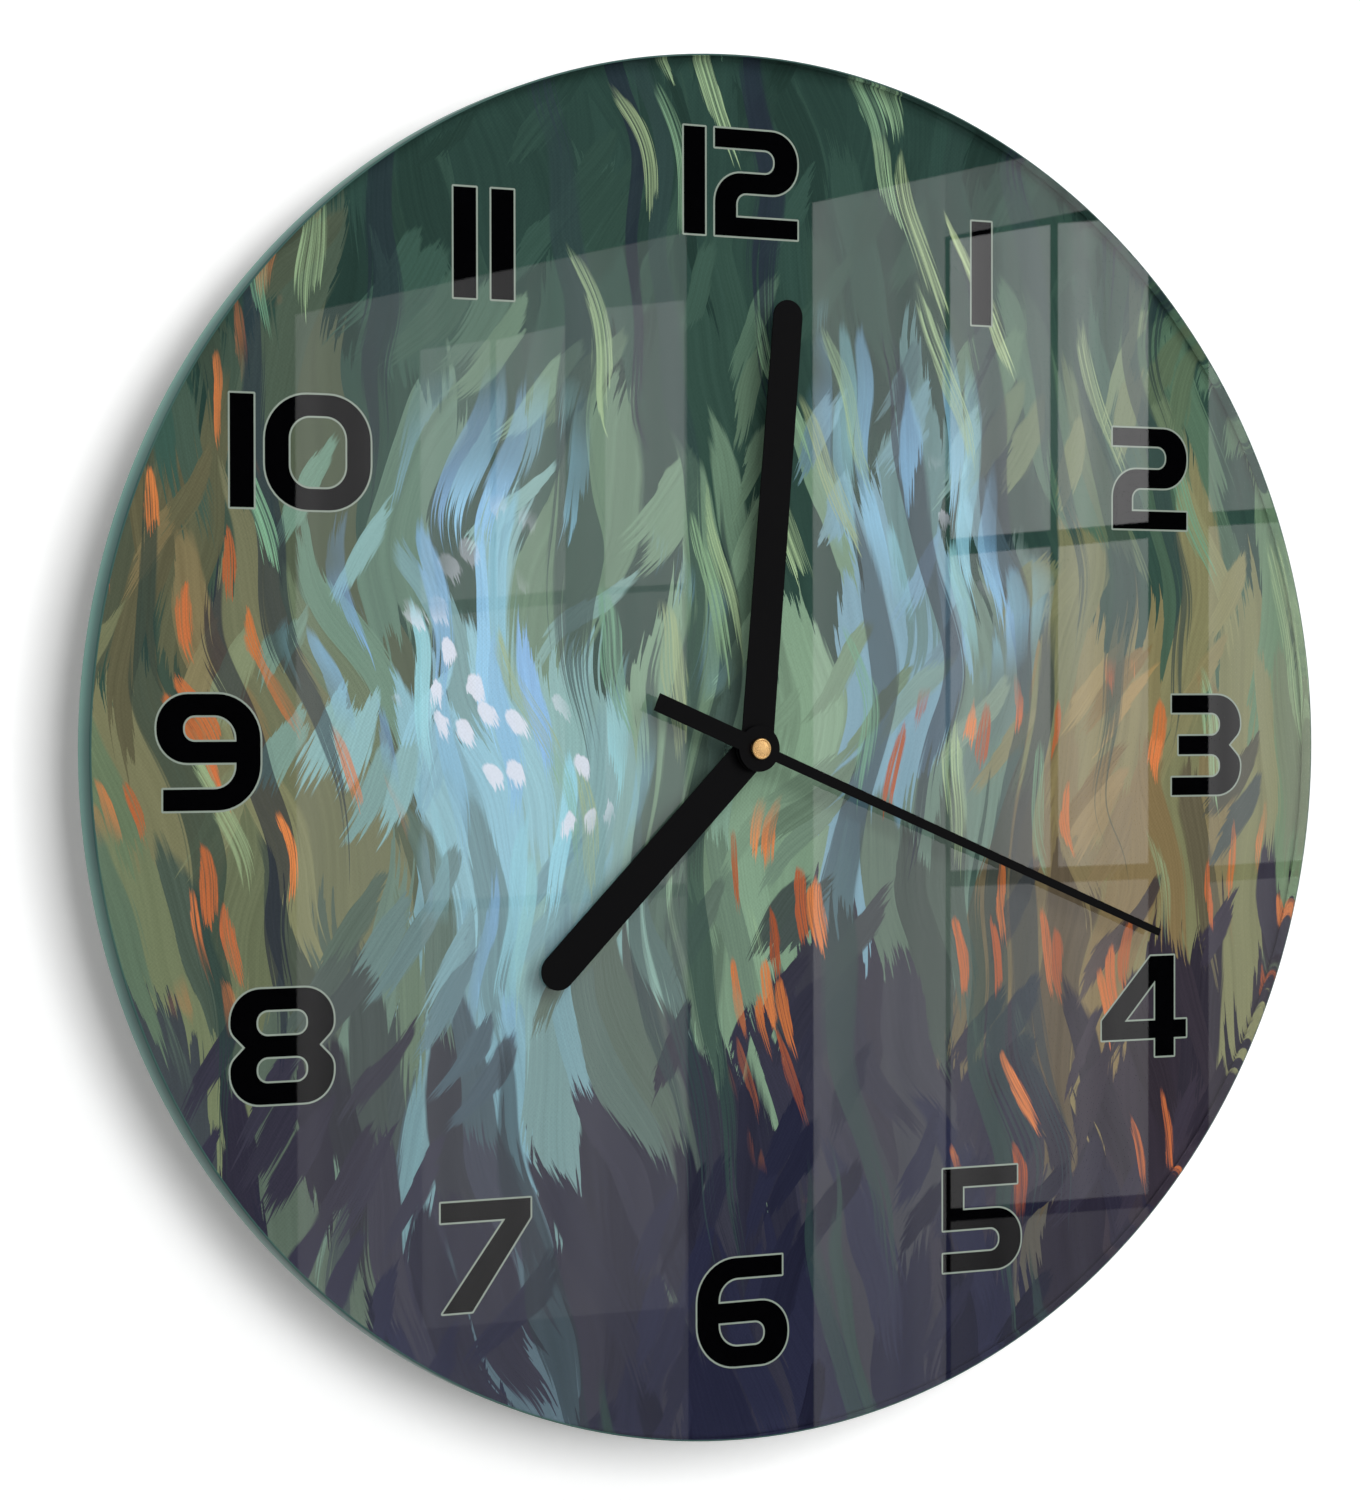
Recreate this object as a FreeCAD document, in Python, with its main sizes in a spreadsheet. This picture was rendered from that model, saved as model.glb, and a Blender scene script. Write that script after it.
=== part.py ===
import FreeCAD, Part
import math
import os

import Sketcher
from FreeCAD import Placement, Rotation, Vector

# A frameless round wall clock: a printed glass disc on a quartz movement.
# +Z is up and the dial faces -Y. The origin is on the hand axis, in the plane of the wall.
# Depths are distances in front of the wall, so a depth is minus a Y value.
# Angles of axes and teeth go anticlockwise from +X as the dial is read; hand angles go clockwise from 12.

SIZES = [
    ("Glass disc",),
    ("glass_diameter", 300, "outer diameter"),
    ("glass_thickness", 8, "thickness of the float glass"),
    ("glass_arris", 0.8, "radius of the polished edges"),
    ("glass_hole_gap", 0.3, "gap between the hole and the bush in it"),
    ("Printed film",),
    ("print_thickness", 0.3, "thickness of the film"),
    ("print_margin", 0.9, "bare rim outside the print"),
    ("film_bond", 0.05, "bond line between film and glass"),
    ("ink_thickness", 0.15, "depth of the numerals in the film"),
    ("keyline_width", 0.4, "pale line round each digit"),
    ("Numerals",),
    ("numeral_ring_radius", 123, "ring that the numerals are centred on"),
    ("numeral_height", 23.2, "height of a flat digit"),
    ("numeral_overshoot", 0.25, "how far round digits pass the flat ones"),
    ("numeral_bar", 4.1, "top and bottom strokes"),
    ("numeral_middle_bar", 4.3, "middle stroke"),
    ("numeral_stem", 5.25, "straight upright stroke"),
    ("numeral_side", 5.7, "upright stroke of a bowl"),
    ("numeral_bowl_radius", 6.5, "outer corner of a bowl"),
    ("numeral_counter_radius", 2.5, "inner corner of a bowl"),
    ("numeral_waist", 3.2, "depth of the notch at the waist"),
    ("numeral_waist_radius", 3.6, "rounding of the lobes at the waist"),
    ("numeral_big_radius", 9.4, "large outer corner of 0, 6 and 9"),
    ("numeral_big_counter_radius", 4.8, "inner corner of 0 and the hook of 6 and 9"),
    ("one_width", 5.2, "width of 1"),
    ("two_width", 20.5, "width of 2"),
    ("three_width", 19.3, "width of 3"),
    ("three_inset", 1.9, "middle stroke of 3 starts this far in"),
    ("four_width", 23.4, "width of 4"),
    ("four_stem_right", 20, "right side of the stem of 4"),
    ("four_bar_level", 4.2, "underside of the crossbar of 4"),
    ("four_apex", 13.5, "where the slope of 4 meets the top"),
    ("four_slope_foot", 8.7, "where the slope of 4 meets its left end"),
    ("four_eye_height", 9.2, "height of the triangle in 4"),
    ("four_eye_left", 6.3, "left point of the triangle in 4"),
    ("five_width", 20.6, "width of 5"),
    ("five_top_width", 19.6, "width of the top stroke of 5"),
    ("nine_width", 22.4, "width of 6 and 9"),
    ("nine_foot_inset", 1.4, "foot of 9 starts this far in"),
    ("nine_left_radius", 6.7, "left end of the bowl of 9"),
    ("seven_width", 20.8, "width of 7"),
    ("seven_foot_left", 0.4, "left point of the foot of 7"),
    ("seven_foot_right", 7.2, "right point of the foot of 7"),
    ("seven_inner", 14.9, "where the slope of 7 leaves the bar"),
    ("eight_width", 22.7, "width of 8"),
    ("zero_width", 23.4, "width of 0"),
    ("digit_gap", 2.4, "gap between two unlike digits"),
    ("twin_gap", 3.5, "gap between the digits of 11"),
    ("Hands",),
    ("hub_radius", 5, "round hub of each hand"),
    ("hand_thickness", 0.4, "sheet of the hour and minute hands"),
    ("second_hand_thickness", 0.3, "sheet of the second hand"),
    ("hand_lift", 0.4, "glass to hour hand"),
    ("hand_gap", 0.85, "free space between two hands"),
    ("hour_hand_length", 70.4, "axis to tip"),
    ("hour_hand_base_radius", 4, "half width at the axis"),
    ("hour_hand_tip_radius", 4, "radius of the rounded tip"),
    ("minute_hand_length", 97.7, "axis to tip"),
    ("minute_hand_base_radius", 3.95, "half width at the axis"),
    ("minute_hand_tip_radius", 3.6, "radius of the rounded tip"),
    ("second_hand_length", 113, "axis to point"),
    ("second_hand_root_width", 2.4, "needle width at the axis"),
    ("second_hand_tip_width", 1.7, "needle width at its square end"),
    ("second_tail_length", 26.9, "axis to the end of the tail"),
    ("second_tail_width", 4, "width of the tail"),
    ("hour_angle", 225.2, "hour hand at rest"),
    ("minute_angle", 4.8, "minute hand at rest"),
    ("second_angle", 112.25, "second hand at rest"),
    ("socket_wall", 1, "wall of the socket under a hand"),
    ("socket_depth", 0.4, "length of the socket under a hand"),
    ("cap_radius", 2.3, "brass cap of the second hand"),
    ("cap_height", 1.2, "height of the cap"),
    ("cap_rim", 0.35, "bevel round the cap"),
    ("Spindle",),
    ("arbor_radius", 0.5, "steel arbor of the second hand", "plan"),
    ("minute_tube_radius", 1.5, "outside of the minute tube", "plan"),
    ("hour_tube_radius", 2.5, "outside of the hour tube", "plan"),
    ("bush_radius", 4, "outside of the centre bush", "plan"),
    ("bush_flange_radius", 5.5, "flange of the centre bush", "plan"),
    ("bush_flange_thickness", 0.8, "thickness of that flange"),
    ("bush_recess", 0.6, "bush ends this far below the glass face"),
    ("tube_stand", 0.15, "tube past its hand"),
    ("arbor_stand", 0.8, "arbor past the second hand"),
    ("running_gap", 0.05, "radial clearance of a turning fit"),
    ("snug_gap", 0.02, "radial clearance of a fixed fit"),
    ("Battery and case",),
    ("battery_radius", 7.25, "AA cell"),
    ("battery_length", 50.5, "AA cell with its nub"),
    ("plan_battery_length", 50.5, "cell that the plan of the movement is drawn for"),
    ("battery_nub_radius", 2.75, "positive nub"),
    ("battery_nub_length", 1, "positive nub"),
    ("battery_rim", 0.5, "rounded ends of the cell"),
    ("battery_gap", 0.5, "cell to wall plane and to the front wall"),
    ("bay_gap", 0.35, "cell to the bay's sides"),
    ("contact_space", 2.5, "bay longer than the cell"),
    ("case_wall", 1.5, "side walls"),
    ("case_front_wall", 1.5, "wall behind the glass"),
    ("case_corner", 3, "outer corner radius"),
    ("bay_wall", 1.2, "wall between bay and train"),
    ("chamber_drop", 10.1, "hand axis down to that wall", "plan"),
    ("cover_thickness", 1.5, "rear cover"),
    ("pad_thickness", 1, "foam pad between case and dial"),
    ("pad_inset", 1.5, "pad smaller than the case all round"),
    ("pad_hole_gap", 0.7, "pad clear of the bush flange"),
    ("Hanging ear",),
    ("ear_half_width", 8, "half width and top radius"),
    ("ear_root", 3, "ear runs this far down into the cover"),
    ("keyhole_rise", 6, "keyhole centre above the case"),
    ("keyhole_radius", 4, "round part, for the screw's head"),
    ("keyhole_slot_radius", 2, "narrow part, for the screw's shank"),
    ("keyhole_travel", 5.5, "round centre to slot centre"),
    ("ear_top_rise", 8, "centre of the ear's round top above the case"),
    ("Train plate",),
    ("motor_space", 4.9, "rear cover to train plate"),
    ("plate_thickness", 0.8, "train plate"),
    ("plate_gap", 0.3, "plate to the case's walls"),
    ("post_inset", 3, "post centre from the chamber's walls"),
    ("post_radius", 1.8, "corner posts of the case"),
    ("screw_hole_radius", 0.6, "hole in a post"),
    ("screw_radius", 0.55, "shank of a plate screw"),
    ("screw_head_radius", 1.4, "head of a plate screw"),
    ("screw_head_height", 0.7, "head of a plate screw"),
    ("screw_length", 5, "shank of a plate screw"),
    ("slot_width", 0.7, "driver slot of a screw"),
    ("slot_depth", 0.3, "driver slot of a screw"),
    ("Wheels",),
    ("first_wheel_gap", 0.5, "train plate to the first wheel"),
    ("wheel_thickness", 0.7, "every toothed wheel"),
    ("pinion_overhang", 0.15, "pinion wider than its wheel each side"),
    ("end_float", 0.35, "last wheel to the front wall"),
    ("pivot_radius", 0.4, "pivots of the train"),
    ("pivot_depth", 1.2, "pivot inside its boss"),
    ("boss_radius", 1, "pivot bosses of the case"),
    ("boss_gap", 0.3, "boss to the pinion above it"),
    ("stud_radius", 0.6, "stud of the motion wheel"),
    ("hub_wall", 0.7, "wall of a wheel's hub"),
    ("third_distance", 9.6, "hand axis to third wheel", "plan"),
    ("third_direction", 20, "its direction"),
    ("intermediate_distance", 9.8, "hand axis to intermediate wheel", "plan"),
    ("intermediate_direction", 160, "its direction"),
    ("rotor_distance", 7.92, "intermediate wheel to rotor", "plan"),
    ("rotor_direction", 110, "its direction"),
    ("motion_distance", 8, "hand axis to motion wheel", "plan"),
    ("motion_direction", 90, "its direction"),
    ("setting_direction", 50, "motion wheel to setting knob"),
    ("clutch_collar_radius", 2.2, "shoulder of the minute tube", "plan"),
    ("clutch_spring_radius", 2.8, "spring washer behind the drive wheel", "plan"),
    ("clutch_spring_thickness", 0.2, "spring washer"),
    ("clutch_gap", 0.05, "drive wheel to its washer and shoulder"),
    ("Setting knob",),
    ("knob_radius", 4.7, "head", "plan"),
    ("knob_recess", 0.5, "head below the wall plane"),
    ("knob_height", 2.1, "head"),
    ("knob_groove_radius", 0.35, "grip grooves"),
    ("knob_well_gap", 0.5, "head to its well"),
    ("knob_well_depth", 3, "well in the rear cover"),
    ("knob_well_wall", 0.9, "wall and floor of the well"),
    ("knob_shaft_radius", 1, "shaft"),
    ("knob_pivot_radius", 0.5, "front pivot of the shaft"),
    ("Motor",),
    ("motor_post_height", 1.5, "posts on the train plate"),
    ("motor_post_radius", 1.3, "posts on the train plate"),
    ("stator_thickness", 0.6, "stator and core sheet"),
    ("stator_half_length", 9.8, "half length over the legs", "plan"),
    ("stator_leg_width", 3.4, "each leg", "plan"),
    ("stator_bar_half_height", 2.9, "crossbar round the rotor", "plan"),
    ("stator_bore_radius", 2.1, "hole round the rotor magnet", "plan"),
    ("coil_rise", 10.7, "rotor axis to coil axis", "plan"),
    ("core_half_width", 1.2, "core sheet"),
    ("bobbin_half_length", 5.9, "coil bobbin", "plan"),
    ("bobbin_tube_radius", 1.5, "coil bobbin"),
    ("bobbin_flange_radius", 2.25, "coil bobbin"),
    ("bobbin_flange_thickness", 0.6, "coil bobbin"),
    ("winding_radius", 2.1, "outside of the winding"),
    ("magnet_radius", 1.7, "rotor magnet", "plan"),
    ("magnet_thickness", 2, "rotor magnet"),
    ("stator_screw_radius", 0.4, "shank of a stator screw"),
    ("stator_screw_head_radius", 1, "head of a stator screw"),
    ("stator_screw_head_height", 0.6, "head of a stator screw"),
    ("Circuit",),
    ("board_thickness", 1, "circuit board"),
    ("board_width", 13.2, "circuit board", "plan"),
    ("board_height", 19, "circuit board", "plan"),
    ("board_gap", 0.3, "board to the positive contact"),
    ("board_rise", 13, "board above the bay wall", "plan"),
    ("board_post_inset", 2.6, "post centre from the board's edges", "plan"),
    ("board_peg_radius", 0.6, "peg through the board"),
    ("chip_radius", 2.5, "potted chip", "plan"),
    ("chip_height", 0.8, "potted chip"),
    ("crystal_radius", 1, "quartz crystal can"),
    ("crystal_length", 6, "quartz crystal can"),
    ("contact_thickness", 0.3, "contact strip"),
    ("contact_gap", 0.1, "contact to the wall behind it"),
    ("contact_plate_height", 11, "contact plate at a cell's end"),
    ("contact_plate_width", 9.5, "contact plate at a cell's end"),
    ("contact_tail_width", 1.4, "tail of a contact"),
    ("contact_spring_chord", 8, "bowed spring of the negative contact"),
    ("contact_spring_height", 5, "bowed spring of the negative contact"),
    ("contact_slot_gap", 0.3, "slot in the bay wall round a tail"),
]

# Whole numbers of teeth
ROTOR_TEETH = 12
INTERMEDIATE_TEETH = 60
INTERMEDIATE_PINION_TEETH = 10
SECOND_TEETH = 60
SECOND_PINION_TEETH = 8
THIRD_TEETH = 64
THIRD_PINION_TEETH = 8
DRIVE_TEETH = 60
CANNON_TEETH = 10
MOTION_TEETH = 30
MOTION_PINION_TEETH = 8
HOUR_TEETH = 32
SETTING_TEETH = 10
KNOB_GROOVE_COUNT = 24

# Shares of the module for the height of a tooth, and of the pitch for its width
TOOTH_HEAD_SHARE = 0.6
TOOTH_FOOT_SHARE = 1.1
TOOTH_WIDTH_SHARE = 0.36
TOOTH_LEAN_SHARE = 0.25

# How far some numerals stand off the ring, right and up, as shares of the numeral height
NUMERAL_SHIFT_SHARES = {10: (0.16, 0.0), 4: (-0.04, 0.05), 8: (-0.03, 0.05), 2: (0.03, 0.0)}

doc = FreeCAD.newDocument("wall_clock")
sheet = doc.addObject("Spreadsheet::Sheet", "Size")
for row, entry in enumerate(SIZES, start=1):
    sheet.set(f"A{row}", entry[0])
    if len(entry) > 1:
        sheet.set(f"B{row}", str(entry[1]))
        sheet.setAlias(f"B{row}", entry[0])
        sheet.set(f"C{row}", entry[2])
doc.recompute()

# Lengths marked as plan lie across the movement, and grow and shrink with the cell's length
plan = doc.addObject("Spreadsheet::Sheet", "Plan")
plan_names = [entry[0] for entry in SIZES if entry[-1] == "plan"]
for row, name in enumerate(plan_names, start=1):
    plan.set(f"A{row}", name)
    plan.set(f"B{row}", f"=Size.{name} * Size.battery_length / Size.plan_battery_length")
    plan.setAlias(f"B{row}", name)
doc.recompute()

# Depths of the case, in front of the wall
CASE_INNER = "(2 * Size.battery_radius + 2 * Size.battery_gap)"
CASE_DEPTH = f"({CASE_INNER} + Size.case_front_wall)"
PLATE_BACK = "(Size.cover_thickness + Size.motor_space)"
PLATE_FRONT = f"({PLATE_BACK} + Size.plate_thickness)"
FIRST_WHEEL = f"({PLATE_FRONT} + Size.first_wheel_gap)"
LAST_WHEEL = f"({CASE_INNER} - Size.end_float - Size.wheel_thickness)"
WHEEL_PLANE_COUNT = 5
WHEEL_PITCH = f"(({LAST_WHEEL} - {FIRST_WHEEL}) / {WHEEL_PLANE_COUNT})"
MOTOR_FRONT = f"({PLATE_BACK} - Size.motor_post_height)"
STATOR_BACK = f"({MOTOR_FRONT} - Size.stator_thickness)"
BOARD_BACK = f"({MOTOR_FRONT} - Size.board_thickness)"

# Depths of the dial and the hands
PAD_FRONT = f"({CASE_DEPTH} + Size.pad_thickness)"
PRINT_FRONT = f"({PAD_FRONT} + Size.print_thickness)"
INK_BACK = f"({PRINT_FRONT} - Size.ink_thickness)"
GLASS_BACK = f"({PRINT_FRONT} + Size.film_bond)"
GLASS_FRONT = f"({GLASS_BACK} + Size.glass_thickness)"
BUSH_END = f"({GLASS_FRONT} - Size.bush_recess)"
HOUR_HAND = f"({GLASS_FRONT} + Size.hand_lift)"
HOUR_TUBE_END = f"({HOUR_HAND} + Size.hand_thickness + Size.tube_stand)"
MINUTE_HAND = f"({HOUR_HAND} + Size.hand_thickness + Size.hand_gap)"
MINUTE_TUBE_END = f"({MINUTE_HAND} + Size.hand_thickness + Size.tube_stand)"
SECOND_HAND = f"({MINUTE_HAND} + Size.hand_thickness + Size.hand_gap)"
CAP_BACK = f"({SECOND_HAND} + Size.second_hand_thickness)"
ARBOR_END = f"({CAP_BACK} + Size.arbor_stand)"

# The case and its two rooms
CASE_HALF = "((Size.battery_length + Size.contact_space) / 2 + Size.case_wall)"
ROOM_HALF = f"({CASE_HALF} - Size.case_wall)"
CHAMBER_BOTTOM = "(-Plan.chamber_drop)"
BAY_TOP = f"({CHAMBER_BOTTOM} - Size.bay_wall)"
BAY_BOTTOM = f"({BAY_TOP} - 2 * Size.battery_radius - 2 * Size.bay_gap)"
BAY_CENTRE = f"(({BAY_BOTTOM} + {BAY_TOP}) / 2)"
CASE_BOTTOM = f"({BAY_BOTTOM} - Size.case_wall)"
GLASS_HOLE = "(Plan.bush_radius + Size.glass_hole_gap)"
KEYHOLE_Z = f"({CASE_HALF} + Size.keyhole_rise)"
POST_X = f"({ROOM_HALF} - Size.post_inset)"
POST_TOP = f"({ROOM_HALF} - Size.post_inset)"
POST_BOTTOM = f"({CHAMBER_BOTTOM} + Size.post_inset)"
POSTS = [(sign + POST_X, level) for sign in ("-", "") for level in (POST_BOTTOM, POST_TOP)]


def wheel_depth(plane):
    """Rear face of a wheel in one of the planes of the train."""
    return f"({FIRST_WHEEL} + {plane} * {WHEEL_PITCH})"


def wheel_front(plane):
    """Front face of a wheel in one of the planes of the train."""
    return f"({wheel_depth(plane)} + Size.wheel_thickness)"


def away(start, distance, direction):
    """The X and Z of an axis that lies at a distance and direction from another."""
    x, z = start
    return (
        f"({x} + {distance} * cos({direction}))",
        f"({z} + {distance} * sin({direction}))",
    )


# Axes of the movement
CENTRE = ("0", "0")
THIRD = away(CENTRE, "Plan.third_distance", "Size.third_direction")
INTERMEDIATE = away(CENTRE, "Plan.intermediate_distance", "Size.intermediate_direction")
ROTOR = away(INTERMEDIATE, "Plan.rotor_distance", "Size.rotor_direction")
MOTION = away(CENTRE, "Plan.motion_distance", "Size.motion_direction")
SETTING_DISTANCE = (
    f"(Plan.motion_distance * {SETTING_TEETH + MOTION_TEETH} / {CANNON_TEETH + MOTION_TEETH})"
)
SETTING = away(MOTION, SETTING_DISTANCE, "Size.setting_direction")

# The motor and the circuit, placed by the rotor and by the chamber
COIL_Z = f"({ROTOR[1]} + Plan.coil_rise)"
LEG_OFFSET = "(Plan.stator_half_length - Plan.stator_leg_width / 2)"
STATOR_FEET = [(f"({ROTOR[0]} {sign} {LEG_OFFSET})", COIL_Z) for sign in ("-", "+")]
CONTACT_INNER = f"({ROOM_HALF} - Size.contact_gap - Size.contact_thickness)"
BOARD_RIGHT = f"({CONTACT_INNER} - Size.board_gap)"
BOARD_LEFT = f"({BOARD_RIGHT} - Plan.board_width)"
BOARD_BOTTOM = f"({CHAMBER_BOTTOM} + Plan.board_rise)"
BOARD_TOP = f"({BOARD_BOTTOM} + Plan.board_height)"
BOARD_PEGS = [
    (f"({BOARD_LEFT} + Plan.board_post_inset)", f"({BOARD_BOTTOM} + Plan.board_post_inset)"),
    (f"({BOARD_LEFT} + Plan.board_post_inset)", f"({BOARD_TOP} - Plan.board_post_inset)"),
]

FORWARD = Rotation(Vector(1, 0, 0), 90)
HAND_AXIS = Vector(0, 1, 0)


def value(expression):
    """The present number of an expression over the sheet."""
    found = sheet.evalExpression(expression)
    return float(getattr(found, "Value", found))


def name_of(owner, piece):
    """The name of a feature that belongs to a sub-part."""
    return f"{owner.Name}_{piece}"


def new_body(label, depth="0", angle=None):
    """An empty body whose rear face lies at a depth, turned clockwise about the hand axis."""
    body = doc.addObject("PartDesign::Body", label)
    body.Label = label
    if angle:
        body.Placement = Placement(Vector(), Rotation(HAND_AXIS, value(angle)))
        body.setExpression("Placement.Rotation.Angle", angle)
    body.setExpression("Placement.Base.y", f"-{depth}")
    return body


def new_sketch(body, piece, lift=None, role="XZ_Plane"):
    """A sketch on one of the body's own planes, lifted forward by an expression."""
    sketch = body.newObject("Sketcher::SketchObject", name_of(body, piece))
    plane = next(item for item in body.Origin.OriginFeatures if item.Role == role)
    sketch.AttachmentSupport = [(plane, "")]
    sketch.MapMode = "FlatFace"
    if lift:
        sketch.setExpression("AttachmentOffset.Base.z", lift)
    return sketch


def tie(sketch, kind, expression, *ends):
    """Add a dimension to a sketch and bind it to an expression."""
    index = sketch.addConstraint(Sketcher.Constraint(kind, *ends, value(expression)))
    sketch.setExpression(f"Constraints[{index}]", expression)


def tie_point(sketch, curve, end, x, z):
    """Place a point of a curve by expressions; one that is zero puts it on that axis."""
    for axis, kind, expression in ((-2, "DistanceX", x), (-1, "DistanceY", z)):
        if expression == "0":
            sketch.addConstraint(Sketcher.Constraint("PointOnObject", curve, end, axis))
        else:
            tie(sketch, kind, expression, -1, 1, curve, end)


def add_circle(sketch, radius, at=CENTRE):
    """A circle whose radius and centre follow expressions."""
    middle = Vector(value(at[0]), value(at[1]), 0)
    curve = sketch.addGeometry(Part.Circle(middle, Vector(0, 0, 1), value(radius)))
    tie(sketch, "Radius", radius, curve)
    tie_point(sketch, curve, 3, *at)


def add_outline(sketch, corners):
    """A closed outline of straight lines whose corners follow expressions."""
    points = [Vector(value(x), value(z), 0) for x, z in corners]
    count = len(points)
    lines = [
        sketch.addGeometry(Part.LineSegment(points[i], points[(i + 1) % count]))
        for i in range(count)
    ]
    for i, (x, z) in enumerate(corners):
        sketch.addConstraint(Sketcher.Constraint("Coincident", lines[i - 1], 2, lines[i], 1))
        tie_point(sketch, lines[i], 1, x, z)


def add_rectangle(sketch, left, bottom, right, top):
    """A rectangle between four expressions."""
    add_outline(sketch, [(left, bottom), (right, bottom), (right, top), (left, top)])


def add_rounded_rectangle(sketch, half, bottom, top, corner):
    """An upright rectangle, even about the Z axis, with rounded corners."""
    a, low, high, r = (value(part) for part in (half, bottom, top, corner))
    ends = [(r - a, low), (a - r, low), (a, low + r), (a, high - r)]
    ends += [(a - r, high), (r - a, high), (-a, high - r), (-a, low + r)]
    middles = [(a - r, low + r), (a - r, high - r), (r - a, high - r), (r - a, low + r)]
    points = [Vector(x, z, 0) for x, z in ends]
    lines = []
    arcs = []
    for side in range(4):
        lines.append(sketch.addGeometry(Part.LineSegment(points[2 * side], points[2 * side + 1])))
        circle = Part.Circle(Vector(*middles[side], 0), Vector(0, 0, 1), r)
        start = (side - 1) * math.pi / 2
        arcs.append(sketch.addGeometry(Part.ArcOfCircle(circle, start, start + math.pi / 2)))
    for side in range(4):
        after = lines[(side + 1) % 4]
        sketch.addConstraint(Sketcher.Constraint("Tangent", lines[side], 2, arcs[side], 1))
        sketch.addConstraint(Sketcher.Constraint("Tangent", arcs[side], 2, after, 1))
        sketch.addConstraint(Sketcher.Constraint(("Horizontal", "Vertical")[side % 2], lines[side]))
        if side:
            sketch.addConstraint(Sketcher.Constraint("Equal", arcs[0], arcs[side]))
    tie(sketch, "Radius", corner, arcs[0])
    tie(sketch, "DistanceY", bottom, -1, 1, lines[0], 1)
    tie(sketch, "DistanceX", half, -1, 1, lines[1], 1)
    tie(sketch, "DistanceY", top, -1, 1, lines[2], 1)
    tie(sketch, "DistanceX", f"-{half}", -1, 1, lines[3], 1)


def add_case_outline(sketch):
    """The outline of the case and of its cover."""
    add_rounded_rectangle(sketch, CASE_HALF, CASE_BOTTOM, CASE_HALF, "Size.case_corner")


def add_blade(sketch, base_radius, tip_radius, base_z, tip_z):
    """An upright blade: two round ends on the Z axis and the lines that touch both."""
    r0, r1, z0, z1 = (value(part) for part in (base_radius, tip_radius, base_z, tip_z))
    lean = math.asin((r0 - r1) / (z1 - z0))
    base_arc = Part.ArcOfCircle(
        Part.Circle(Vector(0, z0, 0), Vector(0, 0, 1), r0), math.pi - lean, 2 * math.pi + lean
    )
    tip_arc = Part.ArcOfCircle(Part.Circle(Vector(0, z1, 0), Vector(0, 0, 1), r1), lean, math.pi - lean)
    base = sketch.addGeometry(base_arc)
    tip = sketch.addGeometry(tip_arc)
    right = sketch.addGeometry(Part.LineSegment(base_arc.EndPoint, tip_arc.StartPoint))
    left = sketch.addGeometry(Part.LineSegment(tip_arc.EndPoint, base_arc.StartPoint))
    for one, one_end, other, other_end in (
        (base, 2, right, 1),
        (right, 2, tip, 1),
        (tip, 2, left, 1),
        (left, 2, base, 1),
    ):
        sketch.addConstraint(Sketcher.Constraint("Tangent", one, one_end, other, other_end))
    tie(sketch, "Radius", base_radius, base)
    tie(sketch, "Radius", tip_radius, tip)
    tie_point(sketch, base, 3, "0", base_z)
    tie_point(sketch, tip, 3, "0", tip_z)


def add_pad(body, sketch, piece, length, backwards=False):
    """Extrude a sketch forward, or back towards the wall."""
    pad = body.newObject("PartDesign::Pad", name_of(body, piece))
    pad.Profile = sketch
    pad.setExpression("Length", length)
    pad.Reversed = backwards
    doc.recompute()
    return pad


def add_pocket(body, sketch, piece, length):
    """Cut a sketch forward into the body, and check that it cut something."""
    before = body.Shape.Volume
    pocket = body.newObject("PartDesign::Pocket", name_of(body, piece))
    pocket.Profile = sketch
    pocket.setExpression("Length", length)
    pocket.Reversed = True
    doc.recompute()
    if not body.Shape.Volume < before:
        raise RuntimeError(f"{pocket.Name} cuts nothing")
    return pocket


def add_revolution(body, sketch, piece, axis):
    """Turn a sketch a full circle about one of its own axes."""
    turned = body.newObject("PartDesign::Revolution", name_of(body, piece))
    turned.Profile = sketch
    turned.ReferenceAxis = (sketch, [axis])
    turned.Angle = 360
    doc.recompute()
    return turned


def new_plate(label, depth, thickness, draw, angle=None):
    """A sub-part that is one extruded sketch."""
    body = new_body(label, depth, angle)
    sketch = new_sketch(body, "outline")
    draw(sketch)
    add_pad(body, sketch, "sheet", thickness)
    return body


def add_rod(name, radius, start, end, at=CENTRE):
    """A round rod along the hand axis's direction, between two depths."""
    rod = doc.addObject("Part::Cylinder", name)
    rod.Placement = Placement(Vector(), FORWARD)
    rod.setExpression("Radius", radius)
    rod.setExpression("Height", f"{end} - {start}")
    rod.setExpression("Placement.Base.x", at[0])
    rod.setExpression("Placement.Base.y", f"-{start}")
    rod.setExpression("Placement.Base.z", at[1])
    return rod


def add_block(name, left, right, start, end, bottom, top):
    """A box between two values of X, two depths and two values of Z."""
    block = doc.addObject("Part::Box", name)
    block.setExpression("Length", f"{right} - {left}")
    block.setExpression("Width", f"{end} - {start}")
    block.setExpression("Height", f"{top} - {bottom}")
    block.setExpression("Placement.Base.x", left)
    block.setExpression("Placement.Base.y", f"-{end}")
    block.setExpression("Placement.Base.z", bottom)
    return block


def fuse(label, pieces):
    """One sub-part joined from several pieces."""
    joined = doc.addObject("Part::MultiFuse", label)
    joined.Label = label
    joined.Shapes = pieces
    return joined


def cut(label, base, tool):
    """One sub-part less a tool."""
    less = doc.addObject("Part::Cut", label)
    less.Label = label
    less.Base = base
    less.Tool = tool
    return less


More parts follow.
